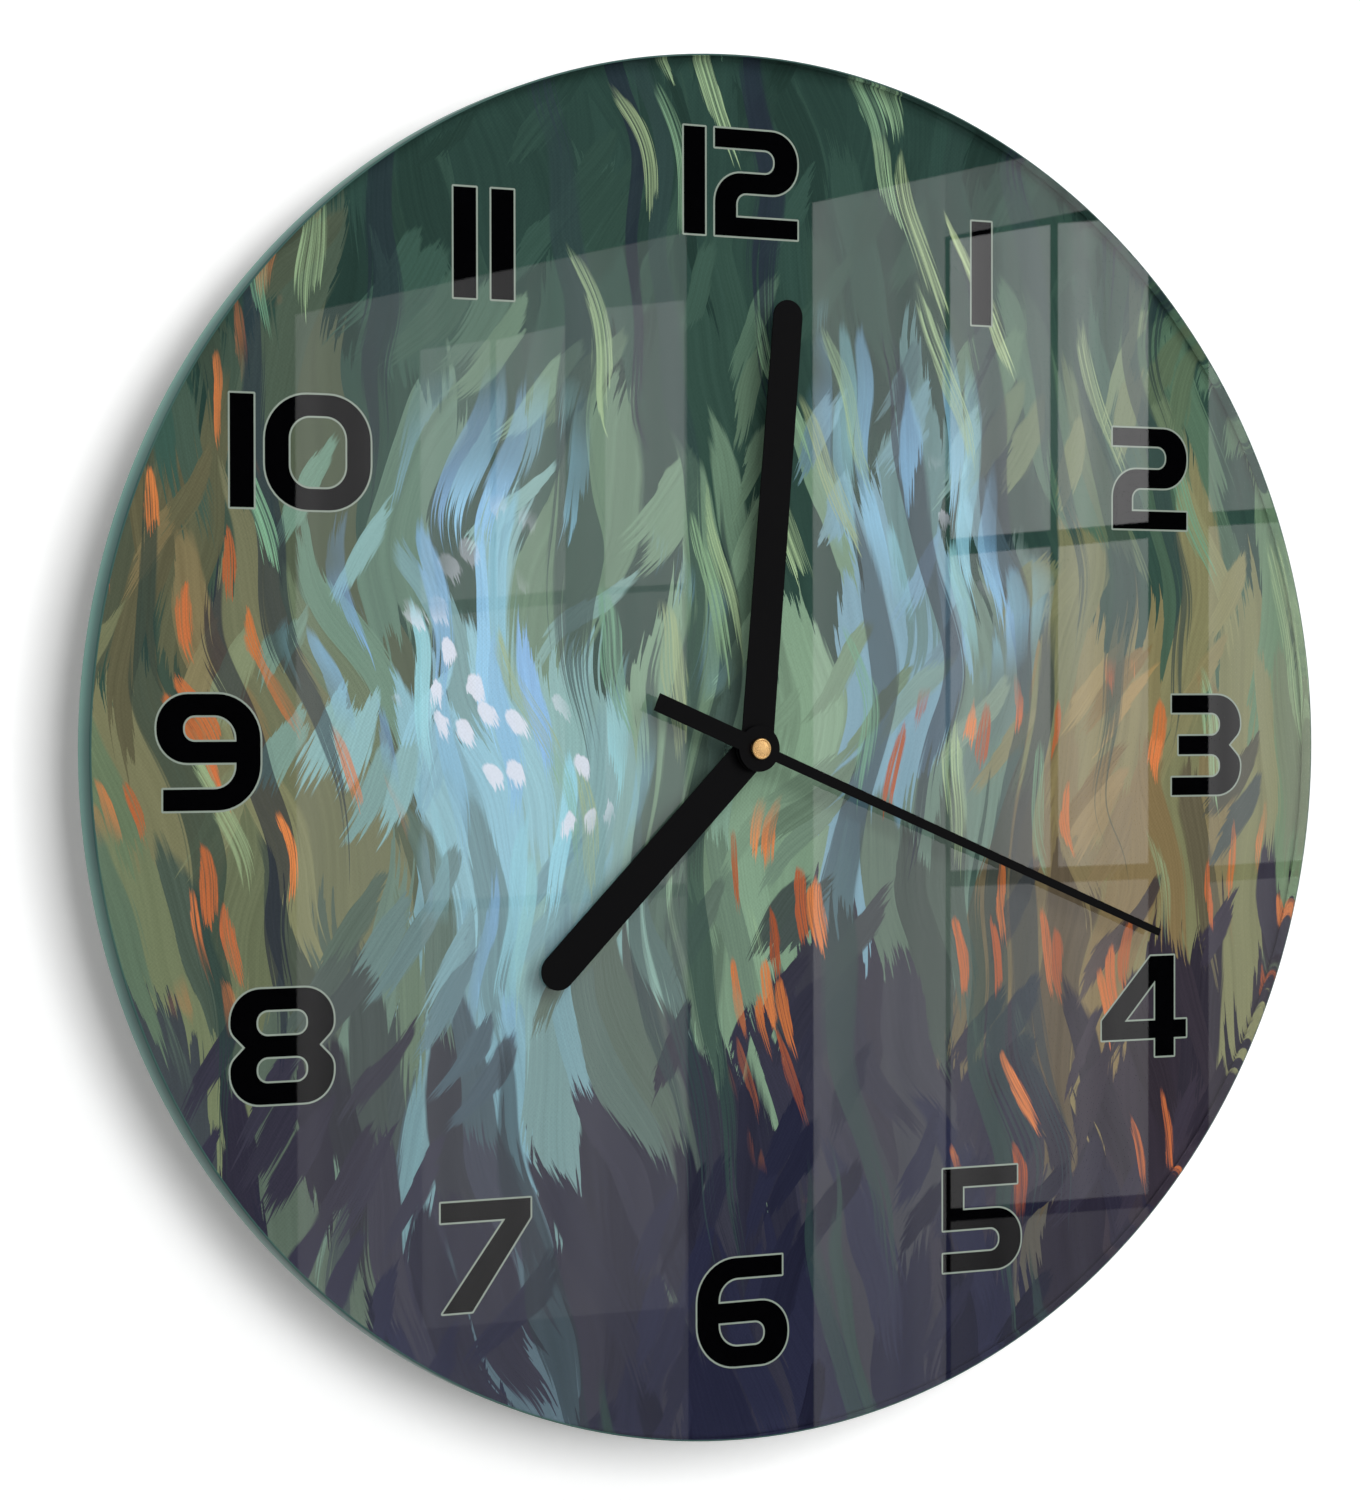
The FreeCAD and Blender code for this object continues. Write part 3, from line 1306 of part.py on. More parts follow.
# Rear cover with the battery opening, the knob's well and the hanging ear
def make_rear_cover():
    well = "(Plan.knob_radius + Size.knob_well_gap)"
    well_outer = f"({well} + Size.knob_well_wall)"
    body = new_body("rear_cover")
    sheet_sketch = new_sketch(body, "sheet")
    add_case_outline(sheet_sketch)
    add_rectangle(sheet_sketch, f"-{ROOM_HALF}", BAY_BOTTOM, ROOM_HALF, BAY_TOP)
    add_circle(sheet_sketch, well, SETTING)
    add_pad(body, sheet_sketch, "cover_sheet", "Size.cover_thickness")
    ear = new_sketch(body, "ear")
    ear_top = f"({CASE_HALF} + Size.ear_top_rise)"
    ear_foot = f"({CASE_HALF} - Size.ear_root)"
    add_rectangle(ear, "-Size.ear_half_width", ear_foot, "Size.ear_half_width", ear_top)
    add_pad(body, ear, "ear_sheet", "Size.cover_thickness")
    crown = new_sketch(body, "crown")
    add_circle(crown, "Size.ear_half_width", ("0", ear_top))
    add_pad(body, crown, "ear_crown", "Size.cover_thickness")
    keyhole = new_sketch(body, "keyhole")
    add_circle(keyhole, "Size.keyhole_radius", ("0", KEYHOLE_Z))
    add_pocket(body, keyhole, "keyhole_cut", "Size.cover_thickness")
    slot = new_sketch(body, "slot")
    slot_top = f"({KEYHOLE_Z} + Size.keyhole_travel)"
    slot_radius = "Size.keyhole_slot_radius"
    add_blade(slot, slot_radius, slot_radius, KEYHOLE_Z, slot_top)
    add_pocket(body, slot, "slot_cut", "Size.cover_thickness")
    ring = new_sketch(body, "well_ring", "Size.cover_thickness")
    add_circle(ring, well, SETTING)
    add_circle(ring, well_outer, SETTING)
    add_pad(body, ring, "well_wall", "Size.knob_well_depth - Size.cover_thickness")
    floor = new_sketch(body, "well_floor", "Size.knob_well_depth")
    add_circle(floor, "(Size.knob_shaft_radius + Size.running_gap)", SETTING)
    add_circle(floor, well_outer, SETTING)
    add_pad(body, floor, "well_floor_sheet", "Size.knob_well_wall")
    return body


# Plate that closes the train and carries motor and circuit
def make_train_plate():
    pivot_hole = "(Size.pivot_radius + Size.running_gap)"
    edge = f"({ROOM_HALF} - Size.plate_gap)"
    body = new_body("train_plate", PLATE_BACK)
    outline = new_sketch(body, "outline")
    add_rectangle(outline, f"-{edge}", f"({CHAMBER_BOTTOM} + Size.plate_gap)", edge, edge)
    add_circle(outline, "(Plan.arbor_radius + Size.running_gap)")
    for at in (THIRD, INTERMEDIATE, ROTOR):
        add_circle(outline, pivot_hole, at)
    add_circle(outline, "(Size.knob_shaft_radius + Size.running_gap)", SETTING)
    for at in POSTS:
        add_circle(outline, "Size.screw_hole_radius", at)
    add_pad(body, outline, "sheet", "Size.plate_thickness")
    posts = new_sketch(body, "posts")
    for at in STATOR_FEET:
        add_circle(posts, "Size.motor_post_radius", at)
    for at in BOARD_PEGS:
        add_circle(posts, "Size.motor_post_radius", at)
    add_pad(body, posts, "post_rods", "Size.motor_post_height", backwards=True)
    pegs = new_sketch(body, "pegs")
    for at in BOARD_PEGS:
        add_circle(pegs, "Size.board_peg_radius", at)
    peg_length = "Size.motor_post_height + Size.board_thickness + Size.snug_gap"
    add_pad(body, pegs, "peg_rods", peg_length, backwards=True)
    holes = new_sketch(body, "stator_screw_holes", "-Size.motor_post_height")
    for at in STATOR_FEET:
        add_circle(holes, "(Size.stator_screw_radius + Size.snug_gap)", at)
    add_pocket(body, holes, "stator_screw_bores", "Size.motor_post_height")
    return body


def make_screws(label, places, shank, head, head_height, head_depth, length):
    """Slotted screws with their heads towards the wall, as one group of separate solids."""
    screws = []
    for number, at in enumerate(places, start=1):
        x, z = at
        name = f"{label}_{number}"
        top = f"({head_depth} - {head_height})"
        rod = add_rod(f"{name}_shank", shank, head_depth, f"({head_depth} + {length})", at)
        disc = add_rod(f"{name}_head", head, top, head_depth, at)
        blank = fuse(f"{name}_blank", [rod, disc])
        slot = add_block(
            f"{name}_slot",
            f"({x} - {head} - Size.slot_width)",
            f"({x} + {head} + Size.slot_width)",
            f"({top} - Size.slot_depth)",
            f"({top} + Size.slot_depth)",
            f"({z} - Size.slot_width / 2)",
            f"({z} + Size.slot_width / 2)",
        )
        screws.append(cut(name, blank, slot))
    group = doc.addObject("Part::Compound", label)
    group.Label = label
    group.Links = screws
    return group


# Motor: stator plate, core, bobbin and winding
def make_motor():
    left = f"({ROTOR[0]} - Plan.stator_half_length)"
    right = f"({ROTOR[0]} + Plan.stator_half_length)"
    leg = "Plan.stator_leg_width"
    bottom = f"({ROTOR[1]} - Plan.stator_bar_half_height)"
    bar_top = f"({ROTOR[1]} + Plan.stator_bar_half_height)"
    top = f"({COIL_Z} + Size.core_half_width)"
    bar_left, bar_right = f"({left} + {leg})", f"({right} - {leg})"
    foot_hole = "(Size.stator_screw_radius + Size.snug_gap)"

    def draw_stator(sketch):
        corners = [(left, bottom), (right, bottom), (right, top), (bar_right, top)]
        corners += [(bar_right, bar_top), (bar_left, bar_top), (bar_left, top), (left, top)]
        add_outline(sketch, corners)
        add_circle(sketch, "Plan.stator_bore_radius", ROTOR)
        for at in STATOR_FEET:
            add_circle(sketch, foot_hole, at)

    def draw_core(sketch):
        add_rectangle(sketch, left, f"({COIL_Z} - Size.core_half_width)", right, top)
        for at in STATOR_FEET:
            add_circle(sketch, foot_hole, at)

    stator = new_plate("stator", STATOR_BACK, "Size.stator_thickness", draw_stator)
    core_back = f"({STATOR_BACK} - Size.stator_thickness)"
    core = new_plate("coil_core", core_back, "Size.stator_thickness", draw_core)

    half = "Plan.bobbin_half_length"
    flange = "Size.bobbin_flange_thickness"
    core_middle = f"({core_back} + Size.stator_thickness / 2)"

    def add_drum(name, radius, start, end):
        drum = doc.addObject("Part::Cylinder", name)
        drum.Placement = Placement(Vector(), Rotation(Vector(0, 1, 0), 90))
        drum.setExpression("Radius", radius)
        drum.setExpression("Height", f"{end} - {start}")
        drum.setExpression("Placement.Base.x", f"{ROTOR[0]} + {start}")
        drum.setExpression("Placement.Base.y", f"-{core_middle}")
        drum.setExpression("Placement.Base.z", COIL_Z)
        return drum

    def core_hole(name):
        return add_block(
            name,
            f"({left} - {leg})",
            f"({right} + {leg})",
            f"({core_back} - Size.snug_gap)",
            f"({STATOR_BACK} + Size.snug_gap)",
            f"({COIL_Z} - Size.core_half_width - Size.snug_gap)",
            f"({top} + Size.snug_gap)",
        )

    bobbin_blank = fuse(
        "bobbin_blank",
        [
            add_drum("bobbin_tube", "Size.bobbin_tube_radius", f"(-{half})", half),
            add_drum("bobbin_left", "Size.bobbin_flange_radius", f"(-{half})", f"({flange} - {half})"),
            add_drum("bobbin_right", "Size.bobbin_flange_radius", f"({half} - {flange})", half),
        ],
    )
    bobbin = cut("coil_bobbin", bobbin_blank, core_hole("bobbin_hole"))
    gap = "Size.snug_gap"
    winding = cut(
        "coil_winding",
        add_drum(
            "winding_drum",
            "Size.winding_radius",
            f"({flange} + {gap} - {half})",
            f"({half} - {flange} - {gap})",
        ),
        add_drum("winding_bore", f"(Size.bobbin_tube_radius + {gap})", f"(-{half})", half),
    )
    screws = make_screws(
        "stator_screws",
        STATOR_FEET,
        "Size.stator_screw_radius",
        "Size.stator_screw_head_radius",
        "Size.stator_screw_head_height",
        core_back,
        "(2 * Size.stator_thickness + Size.motor_post_height)",
    )
    return [stator, core, bobbin, winding, screws]


# Circuit board with its two parts, and the battery's contacts
def make_circuit():
    def draw_board(sketch):
        add_rectangle(sketch, BOARD_LEFT, BOARD_BOTTOM, BOARD_RIGHT, BOARD_TOP)
        for at in BOARD_PEGS:
            add_circle(sketch, "(Size.board_peg_radius + Size.snug_gap)", at)

    board = new_plate("circuit_board", BOARD_BACK, "Size.board_thickness", draw_board)
    middle_x = f"(({BOARD_LEFT} + {BOARD_RIGHT}) / 2)"
    middle_z = f"(({BOARD_BOTTOM} + {BOARD_TOP}) / 2)"
    chip_back = f"({BOARD_BACK} - Size.chip_height)"
    chip_blank = add_rod("chip_blank", "Plan.chip_radius", chip_back, BOARD_BACK, (middle_x, middle_z))
    doc.recompute()
    chip = doc.addObject("Part::Fillet", "chip_cover")
    chip.Label = "chip_cover"
    chip.Base = chip_blank
    rim = next(
        index
        for index, edge in enumerate(chip_blank.Shape.Edges, start=1)
        if abs(edge.BoundBox.YMin + value(chip_back)) < value("Size.snug_gap")
        and abs(edge.BoundBox.YMax + value(chip_back)) < value("Size.snug_gap")
    )
    rounding = value("Size.chip_height") / 2
    chip.Edges = [(rim, rounding, rounding)]
    crystal = doc.addObject("Part::Cylinder", "quartz_crystal")
    crystal.Label = "quartz_crystal"
    crystal.setExpression("Radius", "Size.crystal_radius")
    crystal.setExpression("Height", "Size.crystal_length")
    crystal.setExpression("Placement.Base.x", f"{BOARD_RIGHT} - 2 * Size.crystal_radius")
    crystal.setExpression("Placement.Base.y", f"-({BOARD_BACK} - Size.crystal_radius - Size.snug_gap)")
    crystal.setExpression("Placement.Base.z", f"{middle_z} - Size.crystal_length / 2")

    plate_start = f"(({CASE_INNER} - Size.contact_plate_width) / 2)"
    plate_end = f"(({CASE_INNER} + Size.contact_plate_width) / 2)"
    plate_bottom = f"({BAY_CENTRE} - Size.contact_plate_height / 2)"
    plate_top = f"({BAY_CENTRE} + Size.contact_plate_height / 2)"
    outer = f"({CONTACT_INNER} + Size.contact_thickness)"
    tail_start = f"({MOTOR_FRONT} - Size.contact_tail_width)"
    thick = "Size.contact_thickness"
    plus = fuse(
        "contact_plus",
        [
            add_block("plus_plate", CONTACT_INNER, outer, plate_start, plate_end, plate_bottom, plate_top),
            add_block(
                "plus_tail", CONTACT_INNER, outer, tail_start, MOTOR_FRONT, plate_bottom, middle_z
            ),
        ],
    )
    wall_top = f"({CHAMBER_BOTTOM} + Size.contact_gap)"
    strip_top = f"({wall_top} + {thick})"
    riser_right = f"({BOARD_RIGHT} - Plan.board_post_inset)"
    spring_reach = f"(2 * {CONTACT_INNER} - Size.running_gap - Size.battery_length)"
    sagitta = f"({spring_reach} - Size.running_gap)"
    bow_radius = f"((Size.contact_spring_chord ^ 2 / 4 + {sagitta} ^ 2) / (2 * {sagitta}))"

    def add_bow(name, radius):
        bow = doc.addObject("Part::Cylinder", name)
        bow.setExpression("Radius", radius)
        bow.setExpression("Height", "Size.contact_spring_height")
        bow.setExpression("Placement.Base.x", f"-{CONTACT_INNER} + {sagitta} - {bow_radius}")
        bow.setExpression("Placement.Base.y", f"-{CASE_INNER} / 2")
        bow.setExpression("Placement.Base.z", f"{BAY_CENTRE} - Size.contact_spring_height / 2")
        return bow

    bow_shell = cut(
        "bow_shell",
        add_bow("bow_outside", bow_radius),
        add_bow("bow_inside", f"({bow_radius} - {thick})"),
    )
    bow = doc.addObject("Part::Common", "bow")
    bow.Base = bow_shell
    bow.Tool = add_block(
        "bow_window",
        f"(-{CONTACT_INNER} - {thick} / 2)",
        f"(-{CONTACT_INNER} + {spring_reach})",
        plate_start,
        plate_end,
        plate_bottom,
        plate_top,
    )
    minus = fuse(
        "contact_minus",
        [
            add_block(
                "minus_plate",
                f"(-{outer})",
                f"(-{CONTACT_INNER})",
                plate_start,
                plate_end,
                plate_bottom,
                plate_top,
            ),
            bow,
            add_block(
                "minus_tail",
                f"(-{outer})",
                f"(-{CONTACT_INNER})",
                tail_start,
                MOTOR_FRONT,
                plate_bottom,
                strip_top,
            ),
            add_block(
                "minus_strip", f"(-{outer})", riser_right, tail_start, MOTOR_FRONT, wall_top, strip_top
            ),
            add_block(
                "minus_riser",
                f"({riser_right} - {thick})",
                riser_right,
                tail_start,
                MOTOR_FRONT,
                wall_top,
                f"({BOARD_BOTTOM} - Size.contact_gap)",
            ),
        ],
    )
    return [board, chip, crystal, plus, minus]


# Battery, turned about its own length
def make_battery():
    body = new_body("aa_battery", f"({CASE_INNER} / 2)")
    body.setExpression("Placement.Base.x", f"{CONTACT_INNER} - Size.running_gap - Size.battery_length / 2")
    body.setExpression("Placement.Base.z", BAY_CENTRE)
    half = "Size.battery_length / 2"
    shoulder = f"({half} - Size.battery_nub_length)"
    radius, nub, rim = "Size.battery_radius", "Size.battery_nub_radius", "Size.battery_rim"
    sketch = new_sketch(body, "half_section")
    add_outline(
        sketch,
        [
            (f"-{half}", "0"),
            (half, "0"),
            (half, nub),
            (shoulder, nub),
            (shoulder, f"({radius} - {rim})"),
            (f"({shoulder} - {rim})", radius),
            (f"({rim} - {half})", radius),
            (f"-{half}", f"({radius} - {rim})"),
        ],
    )
    add_revolution(body, sketch, "turned", "H_Axis")
    return body


def make_pad():
    half = f"({CASE_HALF} - Size.pad_inset)"
    bottom = f"({CASE_BOTTOM} + Size.pad_inset)"
    return new_plate(
        "foam_mounting_pad",
        CASE_DEPTH,
        "Size.pad_thickness",
        lambda sketch: (
            add_rounded_rectangle(sketch, half, bottom, half, "Size.case_corner"),
            add_circle(sketch, "(Plan.bush_flange_radius + Size.pad_hole_gap)"),
        ),
    )


nodes = [make_glass_dial(), *make_print(), make_pad()]
nodes += [
    make_plain_hand("hour", HOUR_HAND, "Plan.hour_tube_radius"),
    make_plain_hand("minute", MINUTE_HAND, "Plan.minute_tube_radius"),
    make_second_hand(),
    make_socket("hour_hand_socket", "Plan.hour_tube_radius", HOUR_HAND),
    make_socket("minute_hand_socket", "Plan.minute_tube_radius", MINUTE_HAND),
    make_socket("second_hand_socket", "Plan.arbor_radius", SECOND_HAND),
    make_cap(),
    make_second_arbor(),
    make_bush(),
]
nodes += [*make_wheels(), make_knob(), make_front_case(), make_rear_cover(), make_train_plate()]
nodes.append(
    make_screws(
        "plate_screws",
        POSTS,
        "Size.screw_radius",
        "Size.screw_head_radius",
        "Size.screw_head_height",
        PLATE_BACK,
        "Size.screw_length",
    )
)
nodes += [*make_motor(), *make_circuit(), make_battery()]
doc.recompute()

for item in doc.Objects:
    if "Invalid" in item.State or "Error" in item.State:
        raise RuntimeError(f"{item.Name} failed: {item.State}")
for node in nodes:
    if node.Shape.isNull() or not node.Shape.isValid() or not node.Shape.Solids:
        raise RuntimeError(f"{node.Label} has no valid solid")

os.makedirs("parts", exist_ok=True)
for node in nodes:
    node.Shape.exportStep(os.path.join("parts", f"{node.Label}.step"))
    print(f"{node.Label}: {len(node.Shape.Solids)} solids, {node.Shape.Volume:.2f} mm3")
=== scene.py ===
"""Round glass wall clock: a printed film behind a clear disc, three hands and a quartz movement."""

import math

import bmesh
import bpy
from mathutils import Matrix, Vector


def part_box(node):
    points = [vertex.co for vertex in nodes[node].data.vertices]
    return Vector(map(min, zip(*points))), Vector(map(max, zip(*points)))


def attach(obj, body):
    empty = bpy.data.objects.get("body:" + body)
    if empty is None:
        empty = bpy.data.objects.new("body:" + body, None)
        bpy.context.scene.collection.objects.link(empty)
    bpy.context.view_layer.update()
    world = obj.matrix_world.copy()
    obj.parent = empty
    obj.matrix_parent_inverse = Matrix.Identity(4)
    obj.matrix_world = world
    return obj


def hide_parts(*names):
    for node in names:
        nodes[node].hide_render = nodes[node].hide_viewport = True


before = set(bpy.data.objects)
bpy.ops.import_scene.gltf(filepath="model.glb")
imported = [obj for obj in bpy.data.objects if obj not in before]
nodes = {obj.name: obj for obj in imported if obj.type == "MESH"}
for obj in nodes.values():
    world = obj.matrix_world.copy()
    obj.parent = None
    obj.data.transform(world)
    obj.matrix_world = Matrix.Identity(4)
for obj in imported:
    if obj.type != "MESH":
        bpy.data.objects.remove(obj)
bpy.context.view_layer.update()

MM = 0.001
GLASS_RADIUS = 150.0 * MM
GLASS_HOLE = 4.3 * MM
GLASS_BACK = 18.35 * MM
GLASS_FRONT = 26.35 * MM
GLASS_IOR = 1.52
GLASS_ARRIS = 1.0 * MM
FRONT_ARRIS = 0.4 * MM
PRINT_MIDDLE = 18.15 * MM
CELL_AXIS = -18.9 * MM
ARROW_RADIUS = 7.1 * MM
RIM_REACH = 140.0 * MM
HARD_EDGE = 50.0
BLUR = 0.25
WALL_SIZE = 8.0
WALL_GAP = 0.6 * MM
WALL_GAIN = 0.28
SKY_LIGHT = 0.35
SKY_SEEN = 0.65
SKY_GLOSS = 0.15
WINDOW_STRENGTH = 2.6


# Colours


def paint(red, green, blue):
    """A colour picked in 0 to 255 steps, as the linear value that shaders take."""
    channels = []
    for step in (red, green, blue):
        share = step / 255.0
        channels.append(share / 12.92 if share <= 0.04045 else ((share + 0.055) / 1.055) ** 2.4)
    return (*channels, 1.0)


# Node building


def add_node(tree, kind, inputs=None, **settings):
    """One shader node; an input value that is a socket is linked, any other is set."""
    made = tree.nodes.new("ShaderNode" + kind)
    for name, value in settings.items():
        setattr(made, name, value)
    for name, value in (inputs or {}).items():
        if isinstance(value, bpy.types.NodeSocket):
            tree.links.new(value, made.inputs[name])
        else:
            made.inputs[name].default_value = value
    return made


def calc(tree, operation, first, second=0.0, third=0.0, clamp=False):
    given = {0: first, 1: second, 2: third}
    return add_node(tree, "Math", given, operation=operation, use_clamp=clamp).outputs[0]


def plus(tree, first, second):
    return calc(tree, "ADD", first, second)


def minus(tree, first, second):
    return calc(tree, "SUBTRACT", first, second)


def times(tree, first, second):
    return calc(tree, "MULTIPLY", first, second)


def highest(tree, first, second):
    return calc(tree, "MAXIMUM", first, second)


def absolute(tree, value):
    return calc(tree, "ABSOLUTE", value)


def below(tree, value, limit):
    return calc(tree, "LESS_THAN", value, limit)


def above(tree, value, limit):
    return calc(tree, "GREATER_THAN", value, limit)


def distance(tree, across, upward):
    squares = plus(tree, calc(tree, "POWER", across, 2.0), calc(tree, "POWER", upward, 2.0))
    return calc(tree, "SQRT", squares)


def vector_calc(tree, operation, *given):
    return add_node(tree, "VectorMath", dict(enumerate(given)), operation=operation).outputs[0]


def axes(tree, vector):
    return add_node(tree, "SeparateXYZ", {0: vector}).outputs


def swing(tree, value, middle, reach):
    """The value's distance from the middle, times the reach."""
    return times(tree, minus(tree, value, middle), reach)


def scaled(tree, colour, gain):
    return add_node(tree, "VectorMath", {0: colour, "Scale": gain}, operation="SCALE").outputs[0]


def add_principled(tree, colour, rough, **plain):
    """The usual surface shader; a plain input is written with _ for each space in its name."""
    inputs = {"Base Color": colour, "Roughness": rough}
    inputs.update((name.replace("_", " "), value) for name, value in plain.items())
    return add_node(tree, "BsdfPrincipled", inputs)


def relief(tree, shader, height, depth):
    """Bumps the shader's surface; depth is in metres."""
    bump = add_node(tree, "Bump", {"Height": height, "Strength": 1.0, "Distance": depth})
    tree.links.new(bump.outputs["Normal"], shader.inputs["Normal"])


def blend_colours(tree, share, first, second):
    """From the first colour at 0 to the second at 1."""
    made = add_node(tree, "Mix", data_type="RGBA", blend_type="MIX")
    for index, value in ((0, share), (6, first), (7, second)):
        if isinstance(value, bpy.types.NodeSocket):
            tree.links.new(value, made.inputs[index])
        else:
            made.inputs[index].default_value = value
    return made.outputs[2]


def ramp(tree, share, stops):
    made = add_node(tree, "ValToRGB", {"Fac": share})
    points = made.color_ramp.elements
    points[0].position, points[0].color = stops[0]
    points[1].position, points[1].color = stops[-1]
    for place, colour in stops[1:-1]:
        points.new(place).color = colour
    return made.outputs["Color"]


def between(tree, value, low, high):
    """0 below low, 1 above high, with a straight rise."""
    made = add_node(
        tree,
        "MapRange",
        {"Value": value, "From Min": low, "From Max": high, "To Min": 0.0, "To Max": 1.0},
        clamp=True,
    )
    return made.outputs["Result"]


def noise(tree, vector, scale, detail=2.0, rough=0.5, output="Fac"):
    made = add_node(
        tree,
        "TexNoise",
        {"Vector": vector, "Scale": scale, "Detail": detail, "Roughness": rough},
        noise_dimensions="3D",
    )
    return made.outputs[output]


def new_group(name, inputs, outputs):
    tree = bpy.data.node_groups.new(name, "ShaderNodeTree")
    for socket_name, kind, value in inputs:
        socket = tree.interface.new_socket(name=socket_name, in_out="INPUT", socket_type=kind)
        if value is not None:
            socket.default_value = value
    for socket_name, kind in outputs:
        tree.interface.new_socket(name=socket_name, in_out="OUTPUT", socket_type=kind)
    return tree, tree.nodes.new("NodeGroupInput"), tree.nodes.new("NodeGroupOutput")


def link_results(tree, out, **results):
    """Gives a group's outputs their values, by name."""
    for name, value in results.items():
        tree.links.new(value, out.inputs[name])


def use_group(tree, group, **inputs):
    made = tree.nodes.new("ShaderNodeGroup")
    made.node_tree = group
    for name, value in inputs.items():
        if isinstance(value, bpy.types.NodeSocket):
            tree.links.new(value, made.inputs[name])
        else:
            made.inputs[name].default_value = value
    return made


def new_material(name):
    material = bpy.data.materials.new(name)
    material.use_nodes = True
    tree = material.node_tree
    tree.nodes.clear()
    place = tree.nodes.new("ShaderNodeTexCoord").outputs["Object"]
    return material, tree, place


def show(tree, shader):
    tree.links.new(shader, tree.nodes.new("ShaderNodeOutputMaterial").inputs["Surface"])


# Shared surface effects

EFFECT_RESULTS = [
    ("Colour", "NodeSocketColor"),
    ("Roughness", "NodeSocketFloat"),
    ("Height", "NodeSocketFloat"),
]


def make_moulded_grain():
    """Spark-eroded grain of a moulding, with slow changes of shade and gloss."""
    tree, given, out = new_group(
        "moulded_grain",
        [
            ("Vector", "NodeSocketVector", None),
            ("Colour", "NodeSocketColor", (0.5, 0.5, 0.5, 1.0)),
            ("Grain", "NodeSocketFloat", 3000.0),
            ("Roughness", "NodeSocketFloat", 0.5),
            ("Unevenness", "NodeSocketFloat", 0.2),
        ],
        EFFECT_RESULTS,
    )
    fine = noise(tree, given.outputs["Vector"], given.outputs["Grain"], 3.0, 0.6)
    cloud = noise(tree, given.outputs["Vector"], 90.0, 3.0, 0.55)
    change = swing(tree, cloud, 0.5, given.outputs["Unevenness"])
    shade = scaled(tree, given.outputs["Colour"], plus(tree, 1.0, change))
    speck = swing(tree, fine, 0.5, 0.12)
    rough = plus(tree, given.outputs["Roughness"], plus(tree, speck, change))
    link_results(tree, out, Colour=shade, Roughness=rough, Height=fine)
    return tree


def make_turned_lines():
    """Rings left by a lathe tool round the clock's axis."""
    tree, given, out = new_group(
        "turned_lines",
        [
            ("Vector", "NodeSocketVector", None),
            ("Colour", "NodeSocketColor", (0.8, 0.6, 0.3, 1.0)),
            ("Lines", "NodeSocketFloat", 12000.0),
            ("Roughness", "NodeSocketFloat", 0.25),
        ],
        EFFECT_RESULTS,
    )
    parts = axes(tree, given.outputs["Vector"])
    along = plus(tree, distance(tree, parts["X"], parts["Z"]), parts["Y"])
    rings = add_node(
        tree,
        "TexNoise",
        {"W": times(tree, along, given.outputs["Lines"]), "Scale": 1.0, "Detail": 2.0},
        noise_dimensions="1D",
    ).outputs["Fac"]
    stain = noise(tree, given.outputs["Vector"], 700.0, 2.0)
    gain = plus(tree, 0.72, plus(tree, times(tree, rings, 0.3), times(tree, stain, 0.26)))
    shade = scaled(tree, given.outputs["Colour"], gain)
    rough = plus(tree, given.outputs["Roughness"], swing(tree, stain, 0.4, 0.3))
    link_results(tree, out, Colour=shade, Roughness=rough, Height=rings)
    return tree


def make_rolled_lines():
    """Fine straight lines of rolled or drawn metal, with faint handling stains."""
    tree, given, out = new_group(
        "rolled_lines",
        [
            ("Vector", "NodeSocketVector", None),
            ("Colour", "NodeSocketColor", (0.6, 0.6, 0.6, 1.0)),
            ("Stretch", "NodeSocketVector", (200.0, 6000.0, 6000.0)),
            ("Roughness", "NodeSocketFloat", 0.3),
        ],
        EFFECT_RESULTS,
    )
    drawn = vector_calc(tree, "MULTIPLY", given.outputs["Vector"], given.outputs["Stretch"])
    lines = noise(tree, drawn, 1.0, 3.0, 0.6)
    stain = noise(tree, given.outputs["Vector"], 260.0, 3.0, 0.6)
    gain = plus(tree, 0.76, plus(tree, times(tree, lines, 0.24), times(tree, stain, 0.24)))
    shade = scaled(tree, given.outputs["Colour"], gain)
    rough = plus(tree, given.outputs["Roughness"], swing(tree, stain, 0.45, 0.4))
    link_results(tree, out, Colour=shade, Roughness=rough, Height=lines)
    return tree


MOULDED = make_moulded_grain()
TURNED = make_turned_lines()
ROLLED = make_rolled_lines()


def finish_material(tree, effect, depth, **plain):
    """The surface shader fed by one effect group; depth is the relief in metres."""
    shader = add_principled(tree, effect.outputs["Colour"], effect.outputs["Roughness"], **plain)
    relief(tree, shader, effect.outputs["Height"], depth)
    show(tree, shader.outputs[0])


def moulded(name, colour, roughness=0.5, grain=3000.0, depth=0.00002, unevenness=0.2, **plain):
    material, tree, place = new_material(name)
    effect = use_group(
        tree,
        MOULDED,
        Vector=place,
        Colour=colour,
        Grain=grain,
        Roughness=roughness,
        Unevenness=unevenness,
    )
    finish_material(tree, effect, depth, **plain)
    return material


def turned(name, colour, roughness=0.25, lines=9000.0, depth=0.000004):
    """Metal turned on a lathe."""
    material, tree, place = new_material(name)
    effect = use_group(
        tree, TURNED, Vector=place, Colour=colour, Lines=lines, Roughness=roughness
    )
    finish_material(tree, effect, depth, Metallic=1.0)
    return material


def rolled(name, colour, roughness=0.3, stretch=(200.0, 6000.0, 6000.0)):
    """Rolled or drawn metal; its lines run along the axis that is stretched least."""
    material, tree, place = new_material(name)
    effect = use_group(
        tree, ROLLED, Vector=place, Colour=colour, Stretch=stretch, Roughness=roughness
    )
    finish_material(tree, effect, 0.000003, Metallic=1.0)
    return material


# The printed film


